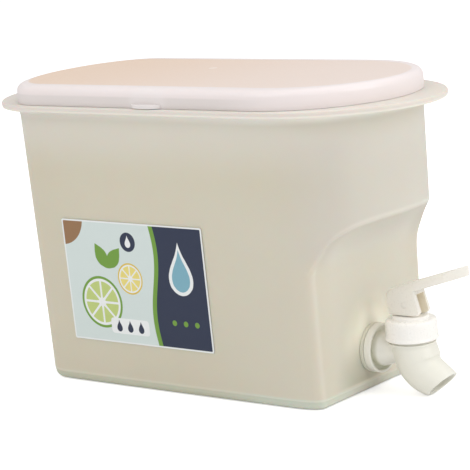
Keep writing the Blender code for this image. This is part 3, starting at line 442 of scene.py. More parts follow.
# %% [markdown]
# ## The tank's frosted plastic
# Thin polypropylene lets some light through. Most of the tank's zones are painted light and shade: painted light under
# the flange, in the recess, on the recess's roof and round the tap, and painted shade on the front corners, at the
# front of the foot and in the tap's shadow. The darker, greener band at the foot is partly the thick floor seen
# through the wall and partly painted shade. Painted highlights run along the raised foot line and where the skin turns
# sharply outwards, so the tank's mesh carries a number, ridge, that says how sharply. A faint painted glow over the
# collar lifts the collar's shade on the wall.

# %% Frosted plastic
FROSTED_GRAIN = 0.00003
# Three spots round the tap: the hole in the wall, the tap's shadow and the glow over the collar.
TANK_SPOTS = {"hole": (0.075, 0, 0.026), "shadow": (0.0852, -0.014, 0.008), "glow": (0.0852, -0.001, 0.032)}
IN_RECESS = (("x", 0.060, 0.080), ("across", 0.045, 0.032))
TANK_ZONES = {
    "back_end": (0.35, (0.60, 0.54, 0.41), ("x", -0.05, -0.12)),
    "low_front": (0.35, (0.70, 0.66, 0.57), ("x", -0.02, 0.07), ("z", 0.13, 0.09)),
    "high_wall": (0.6, (0.75, 0.71, 0.645), ("z", 0.120, 0.150)),
    # Painted shade: the front corners are darker and greyer.
    "front_bow_shade": (0.5, (0.60, 0.56, 0.53), ("x", 0.06, 0.105), ("z", 0.072, 0.085), ("z", 0.152, 0.138)),
    # Painted light: the hollow under the flange is lighter, most of all at the front.
    "cove_painted_light": (0.9, (0.92, 0.87, 0.80), ("x", -0.12, 0.08, 0.65, 1.0), ("z", 0.1525, 0.1565)),
    "flange": (1.0, (0.75, 0.71, 0.65), ("z", 0.1582, 0.1592)),
    # Painted highlight along the raised foot line.
    "foot_line_highlight": (0.4, (0.76, 0.74, 0.63), ("z", 0.0066, 0.0058)),
    # The darker band at the foot: partly the thick floor seen through the wall, partly painted shade.
    "foot": (1.0, (0.585, 0.585, 0.46), ("z", 0.0052, 0.0046)),
    # Painted shade: the foot darker and greener towards the front.
    "front_foot_shade": (0.5, (0.61, 0.68, 0.60), ("x", 0.0, 0.06), ("z", 0.0066, 0.0058)),
    # Painted light in the recess.
    "recess": (0.35, (0.71, 0.675, 0.585), *IN_RECESS),
    # Painted light round the tap, against its contact shadow.
    "hole": (0.65, (0.93, 0.87, 0.71), ("hole", 0.033, 0.018)),
    "tap_shadow": (0.75, (0.50, 0.49, 0.38), ("shadow", 0.026, 0.006), ("z", 0.0062, 0.0078)),
    # Painted light on the recess's roof, where the skin faces down.
    "recess_roof_light": (0.2, (0.88, 0.85, 0.76), *IN_RECESS, ("up", -0.05, -0.45)),
    # Painted highlight on edges where the skin turns sharply outwards, at the front below the flange.
    "ridge": (0.35, (0.86, 0.83, 0.76), ("ridge",), ("x", 0.03, 0.05), ("z", 0.148, 0.140)),
    "inside": (0.85, (0.86, 0.83, 0.76), ("outwards", 0, -0.01), ("z", 0.160, 0.150)),
}
# A painted glow: the wall over the collar gives off a little light, against the collar's shade.
GLOW_BOUNDS = (("glow", 0.018, 0.009),)
GLOW_COLOUR = (1.0, 0.92, 0.82, 1)
GLOW_STRENGTH = 0.11
BLACK = (0, 0, 0, 1)
# Skin that faces this place over the tank is the tank's inside.
OVER_TANK = (TANK_SHIFT, 0, 0.3)


def paint_tank(tree):
    """Gives the frosted plastic its zones, most of them painted light and shade, and its painted glow."""
    measures = find_measures(tree, **TANK_SPOTS)
    normal = add_node(tree, "ShaderNodeNewGeometry").outputs["Normal"]
    from_over = calculate_vector(tree, "SUBTRACT", measures["place"], OVER_TANK)
    measures["outwards"] = calculate_vector(tree, "DOT_PRODUCT", from_over, normal, out="Value")
    measures["up"] = add_node(tree, "ShaderNodeSeparateXYZ", {"Vector": normal}).outputs["Z"]
    measures["across"] = calculate(tree, "ABSOLUTE", measures["y"])
    measures["ridge"] = add_node(tree, "ShaderNodeAttribute", attribute_name="ridge").outputs["Fac"]
    paint_zones(tree, measures, TANK_ZONES)
    shader = tree.nodes["Principled BSDF"]
    glow = lay_over(tree, BLACK, zone_mask(tree, measures, 1.0, GLOW_BOUNDS), GLOW_COLOUR)
    tree.links.new(glow, shader.inputs["Emission Color"])
    shader.inputs["Emission Strength"].default_value = GLOW_STRENGTH


frosted = make_plastic(
    "frosted_plastic", (0.67, 0.615, 0.49), (0.63, 0.575, 0.45), 0.5, FROSTED_GRAIN, 7, soft=0.25, depth=0.006,
    reach=(1.0, 0.2, 0.1))
paint_tank(frosted.node_tree)
print("material:", frosted.name, "with zones", ", ".join(TANK_ZONES))

# %% [markdown]
# ## Tank
# The tank is the largest moulding: an oval, drafted wall with a rim, a flange and the recess for the tap.
# Those forms are already right in the solid, so a copy of it is merged back into quads. Its sharp edges are
# creased, and one subdivision makes its round ends smooth. A fine moulded line is raised above the foot.

# %% Tank walls
FOOT_LINE_HEIGHTS = (0.0050, 0.0053, 0.0057, 0.0060)
FOOT_LINE_SLACK = 0.0001
FOOT_LINE_RISE = 0.00018


def merged_copy(node, name):
    """Copies a solid from the frame, merges its loose triangles back into quads and stays in edit mode."""
    deselect_all()
    piece = bpy.data.objects.new(name, nodes[node].data.copy())
    piece.data.name = name
    bpy.context.scene.collection.objects.link(piece)
    bpy.context.view_layer.objects.active = piece
    piece.select_set(True)
    bpy.ops.mesh.customdata_custom_splitnormals_clear()
    bpy.ops.object.mode_set(mode="EDIT")
    bpy.ops.mesh.select_all(action="SELECT")
    bpy.ops.mesh.remove_doubles(threshold=0.00001)
    bpy.ops.mesh.tris_convert_to_quads(face_threshold=math.radians(20), shape_threshold=math.radians(50))
    return piece


def sharper_than(degrees):
    """A test for edges whose two faces turn by more than an angle."""
    return lambda edge: len(edge.link_faces) == 2 and edge.calc_face_angle() > math.radians(degrees)


def on_foot_line(vertex):
    """True for the outer skin's points in the middle of the foot line."""
    outwards = vertex.normal.x * (vertex.co.x - TANK_SHIFT) + vertex.normal.y * vertex.co.y
    low, high = FOOT_LINE_HEIGHTS[0] + FOOT_LINE_SLACK, FOOT_LINE_HEIGHTS[-1] - FOOT_LINE_SLACK
    return low < vertex.co.z < high and outwards > 0


def mark_ridges(piece, least, most):
    """Stores on each point how sharply the skin turns outwards there, between two angles in degrees."""
    mesh = bmesh.from_edit_mesh(piece.data)
    layer = mesh.verts.layers.float.new("ridge")
    for vertex in mesh.verts:
        turns = [edge.calc_face_angle_signed(0) for edge in vertex.link_edges]
        vertex[layer] = min(max((math.degrees(max(turns)) - least) / (most - least), 0), 1)
    bmesh.update_edit_mesh(piece.data)


is_sharp = sharper_than(34)
tank = merged_copy("tank", "tank_walls")
print("sharp edges:", pick(tank, "EDGE", is_sharp))
bpy.ops.transform.edge_crease(value=1)
for height in FOOT_LINE_HEIGHTS:
    bpy.ops.mesh.select_all(action="SELECT")
    bpy.ops.mesh.bisect(plane_co=(0, 0, height), plane_no=(0, 0, 1))
print("foot line points:", pick(tank, "VERT", on_foot_line))
bpy.ops.transform.shrink_fatten(value=FOOT_LINE_RISE)
finish_mesh(tank, frosted)
use_modifier(tank, "SUBSURF", levels=1, render_levels=1)
mark_ridges(tank, least=5, most=14)
finish_mesh(tank, frosted)
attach(tank, "tank_body")
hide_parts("tank")

# %% [markdown]
# ## Lid
# The lid is a shallow oval cap. It could be cut from a block, but a modeller would start from the oval outline
# and pull it up into a wall, because every ring of the lid is the same oval a little smaller.
# An oval here is a circle whose two halves are stretched and slid apart. Its top is a panel a little higher than the
# round edge, and its underside steps down to a plug that fits inside the tank's rim.

# %% Oval rings
OVAL_SIDES = 144
# An oval is its half width, its reach to the back and front, and the length of its back and front rounding.
UNIT_CIRCLE = (1, 1, 1, 1, 1)


def rounded_end(oval, end):
    """Centre and length of the front (1) or back (-1) rounding of an oval."""
    _, back, front, back_round, front_round = oval
    if end > 0:
        return TANK_SHIFT + front - front_round, front_round
    return TANK_SHIFT - back + back_round, back_round


def smaller(oval, inset):
    """The same oval, drawn in all round."""
    return tuple(size - inset for size in oval)


def select_vertices(piece, numbers):
    """Selects only the vertices with these numbers."""
    mesh = bmesh.from_edit_mesh(piece.data)
    bpy.ops.mesh.select_all(action="DESELECT")
    mesh.verts.ensure_lookup_table()
    for number in numbers:
        mesh.verts[number].select_set(True)
    mesh.select_flush_mode()
    bmesh.update_edit_mesh(piece.data)


def stretch_ring(piece, old, new):
    """Takes the selected ring from one oval to another, one rounded end at a time."""
    ring = {v.index: v.co.copy() for v in bmesh.from_edit_mesh(piece.data).verts if v.select}
    for end in (1, -1):
        select_vertices(piece, [number for number, place in ring.items() if (place.x - TANK_SHIFT) * end > 0])
        old_centre, old_length = rounded_end(old, end)
        new_centre, new_length = rounded_end(new, end)
        bpy.ops.transform.resize(
            value=(new_length / old_length, new[0] / old[0], 1), center_override=(old_centre, 0, 0))
        bpy.ops.transform.translate(value=(new_centre - old_centre, 0, 0))
    select_vertices(piece, ring)


def start_oval(name, oval, height):
    """A flat oval face, ready to be pulled up."""
    piece = start_primitive(
        name, bpy.ops.mesh.primitive_circle_add, vertices=OVAL_SIDES, radius=1, fill_type="NGON",
        location=(TANK_SHIFT, 0, height), rotation=(0, 0, math.pi / OVAL_SIDES))
    stretch_ring(piece, UNIT_CIRCLE, oval)
    return piece


def pull_oval(piece, old, new, rise):
    """Extrudes the selected oval upwards and stretches it to the next one."""
    bpy.ops.mesh.extrude_region_move(TRANSFORM_OT_translate={"value": (0, 0, rise)})
    stretch_ring(piece, old, new)


def pull_through(piece, oval, stations):
    """Extrudes the selected oval through stations, each an inset from the oval and a height."""
    for (inset, height), (next_inset, next_height) in zip(stations, stations[1:]):
        pull_oval(piece, smaller(oval, inset), smaller(oval, next_inset), next_height - height)


def at_height(height):
    """A test for edges that lie level at a height."""
    return lambda edge: all(abs(vertex.co.z - height) < 0.00001 for vertex in edge.verts)


def close_end(piece, test=lambda edge: True):
    """Closes an open end, the boundary edges that pass a test, with one face and leaves it selected."""
    pick(piece, "EDGE", lambda edge: edge.is_boundary and test(edge))
    bpy.ops.mesh.edge_face_add()


def round_edges(piece, width, segments, test):
    """Rounds the edges that pass a test."""
    pick(piece, "EDGE", test)
    bpy.ops.mesh.bevel(offset=width, segments=segments, profile=0.5, affect="EDGES", clamp_overlap=True)


def face_outwards():
    """Turns every face's front to the outside."""
    bpy.ops.mesh.select_all(action="SELECT")
    bpy.ops.mesh.normals_make_consistent(inside=False)


# %% Lid
LID_FOOT = 0.1612
LID_SHOULDER = LID_TOP - 0.0004
LID_OVAL = (0.0595, 0.124, 0.124, 0.0355, 0.0585)
LID_PANEL = (0.0485, 0.1187, 0.1187, 0.0302, 0.0532)
LID_PANEL_EDGE = 0.001
LID_DRAFT = 0.0003
LID_ROUND = 0.0038
SMALL_ROUND = 0.0002
LID_UNDERSIDE = ((0.0, LID_FOOT), (0.0020, LID_FOOT), (0.0020, 0.1684), (0.0045, 0.1684),
                 (0.0045, 0.1652), (0.0060, 0.1652), (0.0060, 0.1700))

lid = start_oval("lid_cover", LID_OVAL, LID_FOOT)
pull_through(lid, LID_OVAL, ((0.0, LID_FOOT), (LID_DRAFT, LID_SHOULDER)))
pull_oval(lid, smaller(LID_OVAL, LID_DRAFT), LID_PANEL, LID_TOP - LID_SHOULDER)
pull_oval(lid, LID_PANEL, smaller(LID_PANEL, LID_PANEL_EDGE), 0)
close_end(lid, at_height(LID_FOOT))
bpy.ops.mesh.select_mode(type="VERT")
pull_through(lid, LID_OVAL, LID_UNDERSIDE)
face_outwards()
round_edges(lid, LID_ROUND, 10, at_height(LID_SHOULDER))
round_edges(lid, SMALL_ROUND, 2, sharper_than(69))
finish_mesh(lid, lid_plastic)
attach(lid, "lid")
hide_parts("lid")

# %% [markdown]
# ## Thumb tab
# A small lip under the lid's near side gives the thumb something to push. Its front is a flat arc, so it is half
# of a stretched disc: a cylinder is scaled, cut off inside the skirt and rounded.

# %% Thumb tab
TAB_PLACE = (-0.0100, -0.0592, 0.1624)
TAB_HALF_SIZES = (0.0104, 0.0034, 0.00105)
TAB_BACK = -0.0588
TAB_ROUND = 0.0009

tab = start_primitive(
    "lid_thumb_tab", bpy.ops.mesh.primitive_cylinder_add, scale=TAB_HALF_SIZES, vertices=96, radius=1, depth=2,
    location=TAB_PLACE)
bpy.ops.mesh.bisect(plane_co=(0, TAB_BACK, 0), plane_no=(0, 1, 0), clear_outer=True, use_fill=True)
round_edges(tab, TAB_ROUND, 5, is_sharp)
finish_mesh(tab, lid_plastic)
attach(tab, "lid")

# %% [markdown]
# ## Turned and bent tubes
# The tap's collar, arm, elbow and bonnet, and the cup inside, are round all along. Each is a circle that is extruded
# from station to station. A station is a centre, a lean about the Y axis and a radius, so one tool makes both straight
# and bent pieces.

# %% Tubes
TUBE_SIDES = 96


def draw_tube(name, stations, sides=TUBE_SIDES):
    """Extrudes a circle through the stations and closes both ends."""
    centre, lean, radius = stations[0]
    piece = start_primitive(
        name, bpy.ops.mesh.primitive_circle_add, vertices=sides, radius=radius, fill_type="NGON", location=centre,
        rotation=(0, lean, 0))
    for next_centre, next_lean, next_radius in stations[1:]:
        step = [b - a for a, b in zip(centre, next_centre)]
        bpy.ops.mesh.extrude_region_move(TRANSFORM_OT_translate={"value": step})
        if next_lean != lean:
            bpy.ops.transform.rotate(value=lean - next_lean, orient_axis="Y", center_override=next_centre)
        bpy.ops.transform.resize(value=(next_radius / radius,) * 3, center_override=next_centre)
        centre, lean, radius = next_centre, next_lean, next_radius
    close_end(piece)
    face_outwards()
    return piece


def upright(profile):
    """Stations of a piece turned about the barrel's upright axis, from its (radius, height) profile."""
    return [((BARREL_X, 0, height), 0.0, radius) for radius, height in profile]


# %% [markdown]
# ## Tap body
# The tap is one moulding: a shank through the wall, a collar, a flared arm and a barrel that bends into the spout.
# It is made as two tubes that run into each other: a nearly level one, and a barrel that starts upright, leans
# forward a little, and then bends sharply into the slanted spout.

# %% Shank, collar and arm
ARM_ROUND = 0.0004
ARM_START = 0.0878
ARM_SLOPE = 0.0016 / 0.0230
# Painted shade in the dish round the arm's root: darker and greener, most at its bottom.
DISH_ZONES = {
    "dish": (1.0, (0.76, 0.76, 0.62), ("x", 0.0942, 0.0912), ("radius", 0.0124, 0.0118),
             ("height", -0.010, 0.010, 1.0, 0.4)),
}
BORE_PROFILE = ((0.0043, 0.1000), (0.0043, 0.0880))
SHANK_PROFILE = (
    (0.0065, 0.0875), (0.0065, 0.0705), (0.0092, 0.0705), (0.00975, 0.0711), (0.00975, 0.0878),
    (0.0135, 0.0878), (0.0135, 0.0918), (0.0122, 0.0918), (0.0118, 0.0894), (0.0096, 0.0894),
)
ARM_PROFILE = (
    (0.0092, 0.0898), (0.0092, 0.0930), (0.0090, 0.0938), (0.0087, 0.0946), (0.0083, 0.0954), (0.0079, 0.0963),
    (0.0075, 0.0972), (0.0071, 0.0982), (0.0068, 0.0993), (0.0066, 0.1005), (0.0066, 0.1032),
)


def level(profile, slope=0.0):
    """Stations of a piece turned about the tap's level axis, or one that falls away, from its (radius, x) profile."""
    return [((x, 0, TAP_HEIGHT - slope * (x - ARM_START)), math.pi / 2, radius) for radius, x in profile]


def shade_the_dish(tree):
    """The dish between the collar's rim and the arm's root is deep and thick: painted shade makes it darker and
    greener, most at the bottom.
    """
    measures = find_measures(tree)
    height = calculate(tree, "SUBTRACT", measures["z"], TAP_HEIGHT)
    radial = add_node(tree, "ShaderNodeCombineXYZ", {"Y": measures["y"], "Z": height}).outputs[0]
    measures["height"] = height
    measures["radius"] = calculate_vector(tree, "LENGTH", radial, out="Value")
    paint_zones(tree, measures, DISH_ZONES)


arm = draw_tube("tap_arm", level(BORE_PROFILE, ARM_SLOPE) + level(SHANK_PROFILE) + level(ARM_PROFILE, ARM_SLOPE))
round_edges(arm, ARM_ROUND, 3, is_sharp)
finish_mesh(arm, lit_arm_plastic)

# %% Elbow and spout
MOUTH = Vector((0.1281, 0, 0.0066))
BARREL_FOOT = Vector((BARREL_X + 0.0006, 0, 0.0279))
BARREL_LEAN = math.radians(16)
SPOUT_TURN = math.radians(60)
MOUTH_LEAN = math.radians(42)
SPOUT_AXIS = Vector((-math.sin(SPOUT_TURN), 0, math.cos(SPOUT_TURN)))
SPOUT_BORE = ((0.0, 0.0083), (0.0005, 0.0080), (0.0060, 0.0080), (0.0095, 0.0079), (0.0097, 0.0048), (0.0128, 0.0046))
BEND_RADIUS = 0.0128
BARREL_RADIUS = 0.0122
BEND_END_RADIUS = 0.0108
MOUTH_RADIUS = 0.0096
ELBOW_ROUND = 0.0003
CHAMBER_PROFILE = (
    (0.0086, 0.0201), (0.0098, 0.0290), (0.0098, 0.0380), (0.0116, 0.0380), (0.0116, 0.0290),
    (0.0129, 0.0290), (0.0129, 0.0279),
)


def turned(angle):
    """The way from a bend's pivot to the tube's middle line, with its sign changed."""
    return Vector((math.cos(angle), 0, math.sin(angle)))


def elbow_stations(barrel_steps, bend_steps, straight_steps):
    """The barrel leans forward, turns about a point at its front, then narrows to the slanted mouth."""
    swing = (turned(SPOUT_TURN) - turned(BARREL_LEAN)) * BEND_RADIUS
    slope = math.tan(BARREL_LEAN)
    drop = BARREL_FOOT.z - MOUTH.z - swing.z
    reach = MOUTH.x + swing.x - BARREL_FOOT.x - slope * drop
    straight = reach / (math.sin(SPOUT_TURN) - slope * math.cos(SPOUT_TURN))
    bend_end = MOUTH + SPOUT_AXIS * straight
    pivot = bend_end + turned(SPOUT_TURN) * BEND_RADIUS
    bend_start = pivot - turned(BARREL_LEAN) * BEND_RADIUS
    stations = []
    for step in range(barrel_steps):
        share = step / barrel_steps
        stations.append((BARREL_FOOT.lerp(bend_start, share), -BARREL_LEAN * share, BARREL_RADIUS))
    for step in range(bend_steps + 1):
        share = step / bend_steps
        turn = BARREL_LEAN + (SPOUT_TURN - BARREL_LEAN) * share
        radius = BARREL_RADIUS + (BEND_END_RADIUS - BARREL_RADIUS) * share
        stations.append((pivot - turned(turn) * BEND_RADIUS, -turn, radius))
    for step in range(1, straight_steps + 1):
        share = step / straight_steps
        lean = SPOUT_TURN + (MOUTH_LEAN - SPOUT_TURN) * share**2
        radius = BEND_END_RADIUS + (MOUTH_RADIUS - BEND_END_RADIUS) * share
        stations.append((bend_end.lerp(MOUTH, share), -lean, radius))
    return stations


bend = elbow_stations(barrel_steps=4, bend_steps=14, straight_steps=8)
hollow = [(MOUTH + SPOUT_AXIS * depth, -MOUTH_LEAN, radius) for depth, radius in SPOUT_BORE]
elbow = draw_tube("tap_elbow", upright(CHAMBER_PROFILE) + bend + hollow)
round_edges(elbow, ELBOW_ROUND, 3, sharper_than(57))
finish_mesh(elbow, shaded_elbow_plastic)

shade_the_dish(lit_arm_plastic.node_tree)
for piece in (arm, elbow):
    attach(piece, "tank_body")
    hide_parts("tap_body")
print("tap body from", arm.name, elbow.name)

# %% [markdown]
# ## Bonnet
# The bonnet is the cap that screws onto the barrel. Fingers turn it, so its lower half has shallow upright flutes.
# They are made by drawing every third column of points in a little.

# %% Bonnet
BONNET_SIDES = 144
BONNET_PROFILE = (
    (0.0120, 0.0385), (0.0120, 0.0304), (0.0140, 0.0304), (0.0144, 0.0307), (0.0144, 0.0314), (0.0141, 0.0318),
    (0.01400, 0.0324), (0.01400, 0.0329), (0.01397, 0.0366), (0.01395, 0.0371), (0.01392, 0.0390),
    (0.01390, 0.0404), (0.01362, 0.0411), (0.0131, 0.0415), (0.0125, 0.0416),
    (0.0101, 0.0416), (0.0099, 0.0418), (0.0098, 0.0432), (0.0095, 0.0434), (0.0030, 0.0434), (0.0029, 0.0396),
)
FLUTE_HEIGHTS = (0.0330, 0.0368)
FLUTE_DEPTH = 0.00016
FLUTE_RADIUS = 0.0139
BORE_REACH = 0.013


def in_flute(vertex):
    """True for every third column of points on the outer skin, between the flutes' two ends."""
    x, y, z = vertex.co
    column = round(math.atan2(y, x - BARREL_X) / math.tau * BONNET_SIDES)
    return column % 3 == 0 and FLUTE_HEIGHTS[0] < z < FLUTE_HEIGHTS[1] and math.hypot(y, x - BARREL_X) > BORE_REACH


bonnet = draw_tube("tap_bonnet", upright(BONNET_PROFILE), sides=BONNET_SIDES)
flutes = pick(bonnet, "VERT", in_flute)
shrink = 1 - FLUTE_DEPTH / FLUTE_RADIUS
bpy.ops.transform.resize(value=(shrink, shrink, 1), center_override=(BARREL_X, 0, 0))
finish_mesh(bonnet, bonnet_plastic_painted_light, angle=40)
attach(bonnet, "tank_body")
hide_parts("bonnet")
print("flute points:", flutes)

# %% [markdown]
# ## Lever
# The lever is a small hood over the pin with a paddle in front of it. Two cheeks carry the pin. Their lower edge rolls
# on the bonnet and lifts the stem, so its curve is exact in the solid, and a merged copy of that keeps it.

# %% Lever
# Some light comes through the thin cheeks. The slot between them is painted a bright warm tan, painted light where
# shade would fall between the cheeks.
SLOT_ZONES = {
    "slot": (1.0, (1.0, 0.92, 0.77), ("x", 0.1046, 0.1047), ("across", 0.0036, 0.0035), ("z", 0.0557, 0.0556)),
}

lever = merged_copy("lever", "tap_lever")
finish_mesh(lever, tap_plastic)
lever_tree = tap_plastic.node_tree
lever_measures = find_measures(lever_tree)
lever_measures["across"] = calculate(lever_tree, "ABSOLUTE", lever_measures["y"])
paint_zones(lever_tree, lever_measures, SLOT_ZONES)
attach(lever, "lever")
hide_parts("lever")

# %% [markdown]
# ## Pin
# The lever turns on a plain plastic pin. It is pressed in flush with the cheeks, so it hardly shows:
# a cylinder with slightly rounded ends.

# %% Lever pin
PIN_HEIGHT = 0.0497
PIN_RADIUS = 0.00178
PIN_HALF_LENGTH = 0.00588
PIN_ROUND = 0.00012

pin = start_primitive(
    "tap_lever_pin", bpy.ops.mesh.primitive_cylinder_add, vertices=48, radius=PIN_RADIUS, depth=2 * PIN_HALF_LENGTH,
    location=(BARREL_X, 0, PIN_HEIGHT), rotation=(math.pi / 2, 0, 0))
round_edges(pin, PIN_ROUND, 2, is_sharp)
finish_mesh(pin, tap_plastic)
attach(pin, "lever")
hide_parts("lever_pin")

# %% [markdown]
# ## Label
# A printed sheet is stuck to the near wall. Its print is made from shapes that the material works out:
# a pale field, a dark field with a wavy edge, a drop and a few fruit slices.

# %% Shapes for print
PRINT_SOFTNESS = 0.12


def mask_inside(tree, distance):
    """1 inside a printed shape and 0 outside it, from a signed distance in millimetres."""
    return fade(tree, distance, -PRINT_SOFTNESS, PRINT_SOFTNESS, 1.0, 0.0)


def start_shape(name, origin, inputs, outputs=()):
    """A group for a print shape, and the given place as it is seen from the shape's own origin."""
    group, given, leave = start_group(
        name, [("Vector", "Vector", None), (origin, "Vector", (0, 0, 0)), *inputs], [("Mask", "Float"), *outputs])
    return group, given, leave, calculate_vector(group, "SUBTRACT", given["Vector"], given[origin])


def make_box_group():
    """A printed box with round corners."""
    group, given, leave, place = start_shape(
        "print_box", "Centre", [("Half Size", "Vector", (1, 0, 1)), ("Corner", "Float", 0.5)])
    place = calculate_vector(group, "ABSOLUTE", calculate_vector(group, "MULTIPLY", place, (1, 0, 1)))
    corner = add_node(group, "ShaderNodeCombineXYZ", {"X": given["Corner"], "Z": given["Corner"]})
    inner = calculate_vector(group, "SUBTRACT", given["Half Size"], corner.outputs[0])
    outside = calculate_vector(group, "MAXIMUM", calculate_vector(group, "SUBTRACT", place, inner), (0, 0, 0))
    length = calculate_vector(group, "LENGTH", outside, out="Value")
    group.links.new(mask_inside(group, calculate(group, "SUBTRACT", length, given["Corner"])), leave.inputs["Mask"])
    return group


def make_disc_group():
    """A printed disc, which also tells a place's share of its radius and its angle."""
    group, given, leave, place = start_shape(
        "print_disc", "Centre", [("Radius", "Float", 5.0)], [("Distance", "Float"), ("Angle", "Float")])
    place = calculate_vector(group, "MULTIPLY", place, (1, 0, 1))
    length = calculate_vector(group, "LENGTH", place, out="Value")
    axes = add_node(group, "ShaderNodeSeparateXYZ", {"Vector": place}).outputs
    group.links.new(mask_inside(group, calculate(group, "SUBTRACT", length, given["Radius"])), leave.inputs["Mask"])
    group.links.new(calculate(group, "DIVIDE", length, given["Radius"]), leave.inputs["Distance"])
    group.links.new(calculate(group, "ARCTAN2", axes["Z"], axes["X"]), leave.inputs["Angle"])
    return group


def make_profile_group(name, shares):
    """A printed shape that is even about an upright line. Shares give its half width from its foot to its tip."""
    group, given, leave, place = start_shape(name, "Foot", [
        ("Height", "Float", 10.0), ("Half Width", "Float", 4.0), ("Turn", "Float", 0.0)])
    upright_place = add_node(
        group, "ShaderNodeVectorRotate", {"Vector": place, "Angle": given["Turn"]}, rotation_type="Y_AXIS")
    axes = add_node(group, "ShaderNodeSeparateXYZ", {"Vector": upright_place.outputs[0]})
    rise = calculate(group, "DIVIDE", axes.outputs["Z"], given["Height"])
    curve = add_node(group, "ShaderNodeFloatCurve", {"Value": rise})
    points = curve.mapping.curves[0].points
    for number, (place_share, width_share) in enumerate(shares):
        if number < 2:
            points[number].location = (place_share, width_share)
        else:
            points.new(place_share, width_share)
    curve.mapping.update()
    width = calculate(group, "MULTIPLY", curve.outputs[0], given["Half Width"])
    distance = calculate(group, "SUBTRACT", calculate(group, "ABSOLUTE", axes.outputs["X"]), width)
    inside = calculate(group, "MULTIPLY", mask_inside(group, distance), calculate(group, "GREATER_THAN", rise, 0.0))
    inside = calculate(group, "MULTIPLY", inside, calculate(group, "LESS_THAN", rise, 1.0))
    group.links.new(inside, leave.inputs["Mask"])
    return group


box_group = make_box_group()
disc_group = make_disc_group()
drop_group = make_profile_group("print_drop", (
    (0.0, 0.0), (1.0, 0.0), (0.03, 0.42), (0.10, 0.74), (0.20, 0.95), (0.32, 1.0), (0.46, 0.88), (0.62, 0.60),
    (0.80, 0.25)))
leaf_group = make_profile_group("print_leaf", (
    (0.0, 0.0), (1.0, 0.0), (0.15, 0.55), (0.35, 0.95), (0.5, 1.0), (0.7, 0.75), (0.88, 0.32)))
print("print shapes:", box_group.name, disc_group.name, drop_group.name, leaf_group.name)

# %% Label print
LABEL_CENTRE = (-0.0331, 0.0615)
NAVY = (0.010, 0.020, 0.058, 1)
LABEL_GREEN = (0.16, 0.33, 0.035, 1)
LABEL_PALE = (0.66, 0.74, 0.72, 1)
LABEL_WHITE = (0.84, 0.86, 0.86, 1)
LABEL_BROWN = (0.30, 0.16, 0.07, 1)
LABEL_YELLOW = (0.80, 0.68, 0.20, 1)
LABEL_BLUE = (0.20, 0.42, 0.52, 1)
# All places and sizes of the print are millimetres from the label's middle.
WAVE_DEPTH = 2.6
WAVE_TURN = 0.085
DARK_FIELDS = ((12.5, LABEL_GREEN), (15.5, NAVY))
# A slice has a centre, a radius, a peel and a flesh. Its parts are shares of the radius.
SLICES = (
    ((-27, 0, -12), 15.0, LABEL_GREEN, (0.52, 0.62, 0.20, 1)),
    ((-4, 0, 3), 9.0, (0.70, 0.50, 0.06, 1), LABEL_YELLOW),
)
PITH = 0.9
CORE = 0.8
SPOKE = 0.17
SEGMENTS = 8
LEAF = {"Foot": (-20, 0, 8), "Height": 16.0, "Half Width": 4.2}
SMALL_DROP = {"Height": 7.0, "Half Width": 2.0}
PRINTED_SHAPES = (
    (disc_group, LABEL_BROWN, {"Centre": (-52, 0, 37), "Radius": 17.0}),
    (leaf_group, LABEL_GREEN, {**LEAF, "Turn": 0.5}),
    (leaf_group, LABEL_GREEN, {**LEAF, "Turn": -0.7}),
    (box_group, LABEL_WHITE, {"Centre": (-8, 0, -25), "Half Size": (14, 0, 4.5), "Corner": 2.0}),
    *((drop_group, NAVY, {**SMALL_DROP, "Foot": (x, 0, -28.4)}) for x in (-16, -8, 0)),
    (disc_group, NAVY, {"Centre": (-3, 0, 24), "Radius": 5.5}),
    (drop_group, LABEL_WHITE, {**SMALL_DROP, "Foot": (-3, 0, 20.8)}),
    (drop_group, LABEL_WHITE, {"Foot": (33, 0, -4), "Height": 30.0, "Half Width": 8.5}),
    (drop_group, LABEL_BLUE, {"Foot": (33, 0, -2), "Height": 24.0, "Half Width": 6.3}),
    *((disc_group, LABEL_GREEN, {"Centre": (x, 0, -20), "Radius": 1.6}) for x in (25, 33, 41)),
)
PRINT_EDGE = {"Centre": (0, 0, 0), "Half Size": (49.9, 0, 34.1), "Corner": 0.6}


def place_shape(tree, group, vector, values):
    """Places a print shape."""
    return add_node(tree, "ShaderNodeGroup", {"Vector": vector, **values}, node_tree=group).outputs


def print_slice(tree, below, vector, centre, radius, peel, flesh):
    """A slice of fruit: peel, pith and segments."""
    outer, pith, core = (place_shape(tree, disc_group, vector, {"Centre": centre, "Radius": radius * share})
                         for share in (1, PITH, CORE))
    turn = calculate(tree, "MULTIPLY", outer["Angle"], SEGMENTS / 2)
    spoke = calculate(tree, "ABSOLUTE", calculate(tree, "SINE", turn))
    gap = calculate(tree, "GREATER_THAN", calculate(tree, "MULTIPLY", spoke, outer["Distance"]), SPOKE)
    colour = lay_over(tree, below, outer["Mask"], peel)
    colour = lay_over(tree, colour, pith["Mask"], LABEL_WHITE)
    return lay_over(tree, colour, calculate(tree, "MULTIPLY", gap, core["Mask"]), flesh)


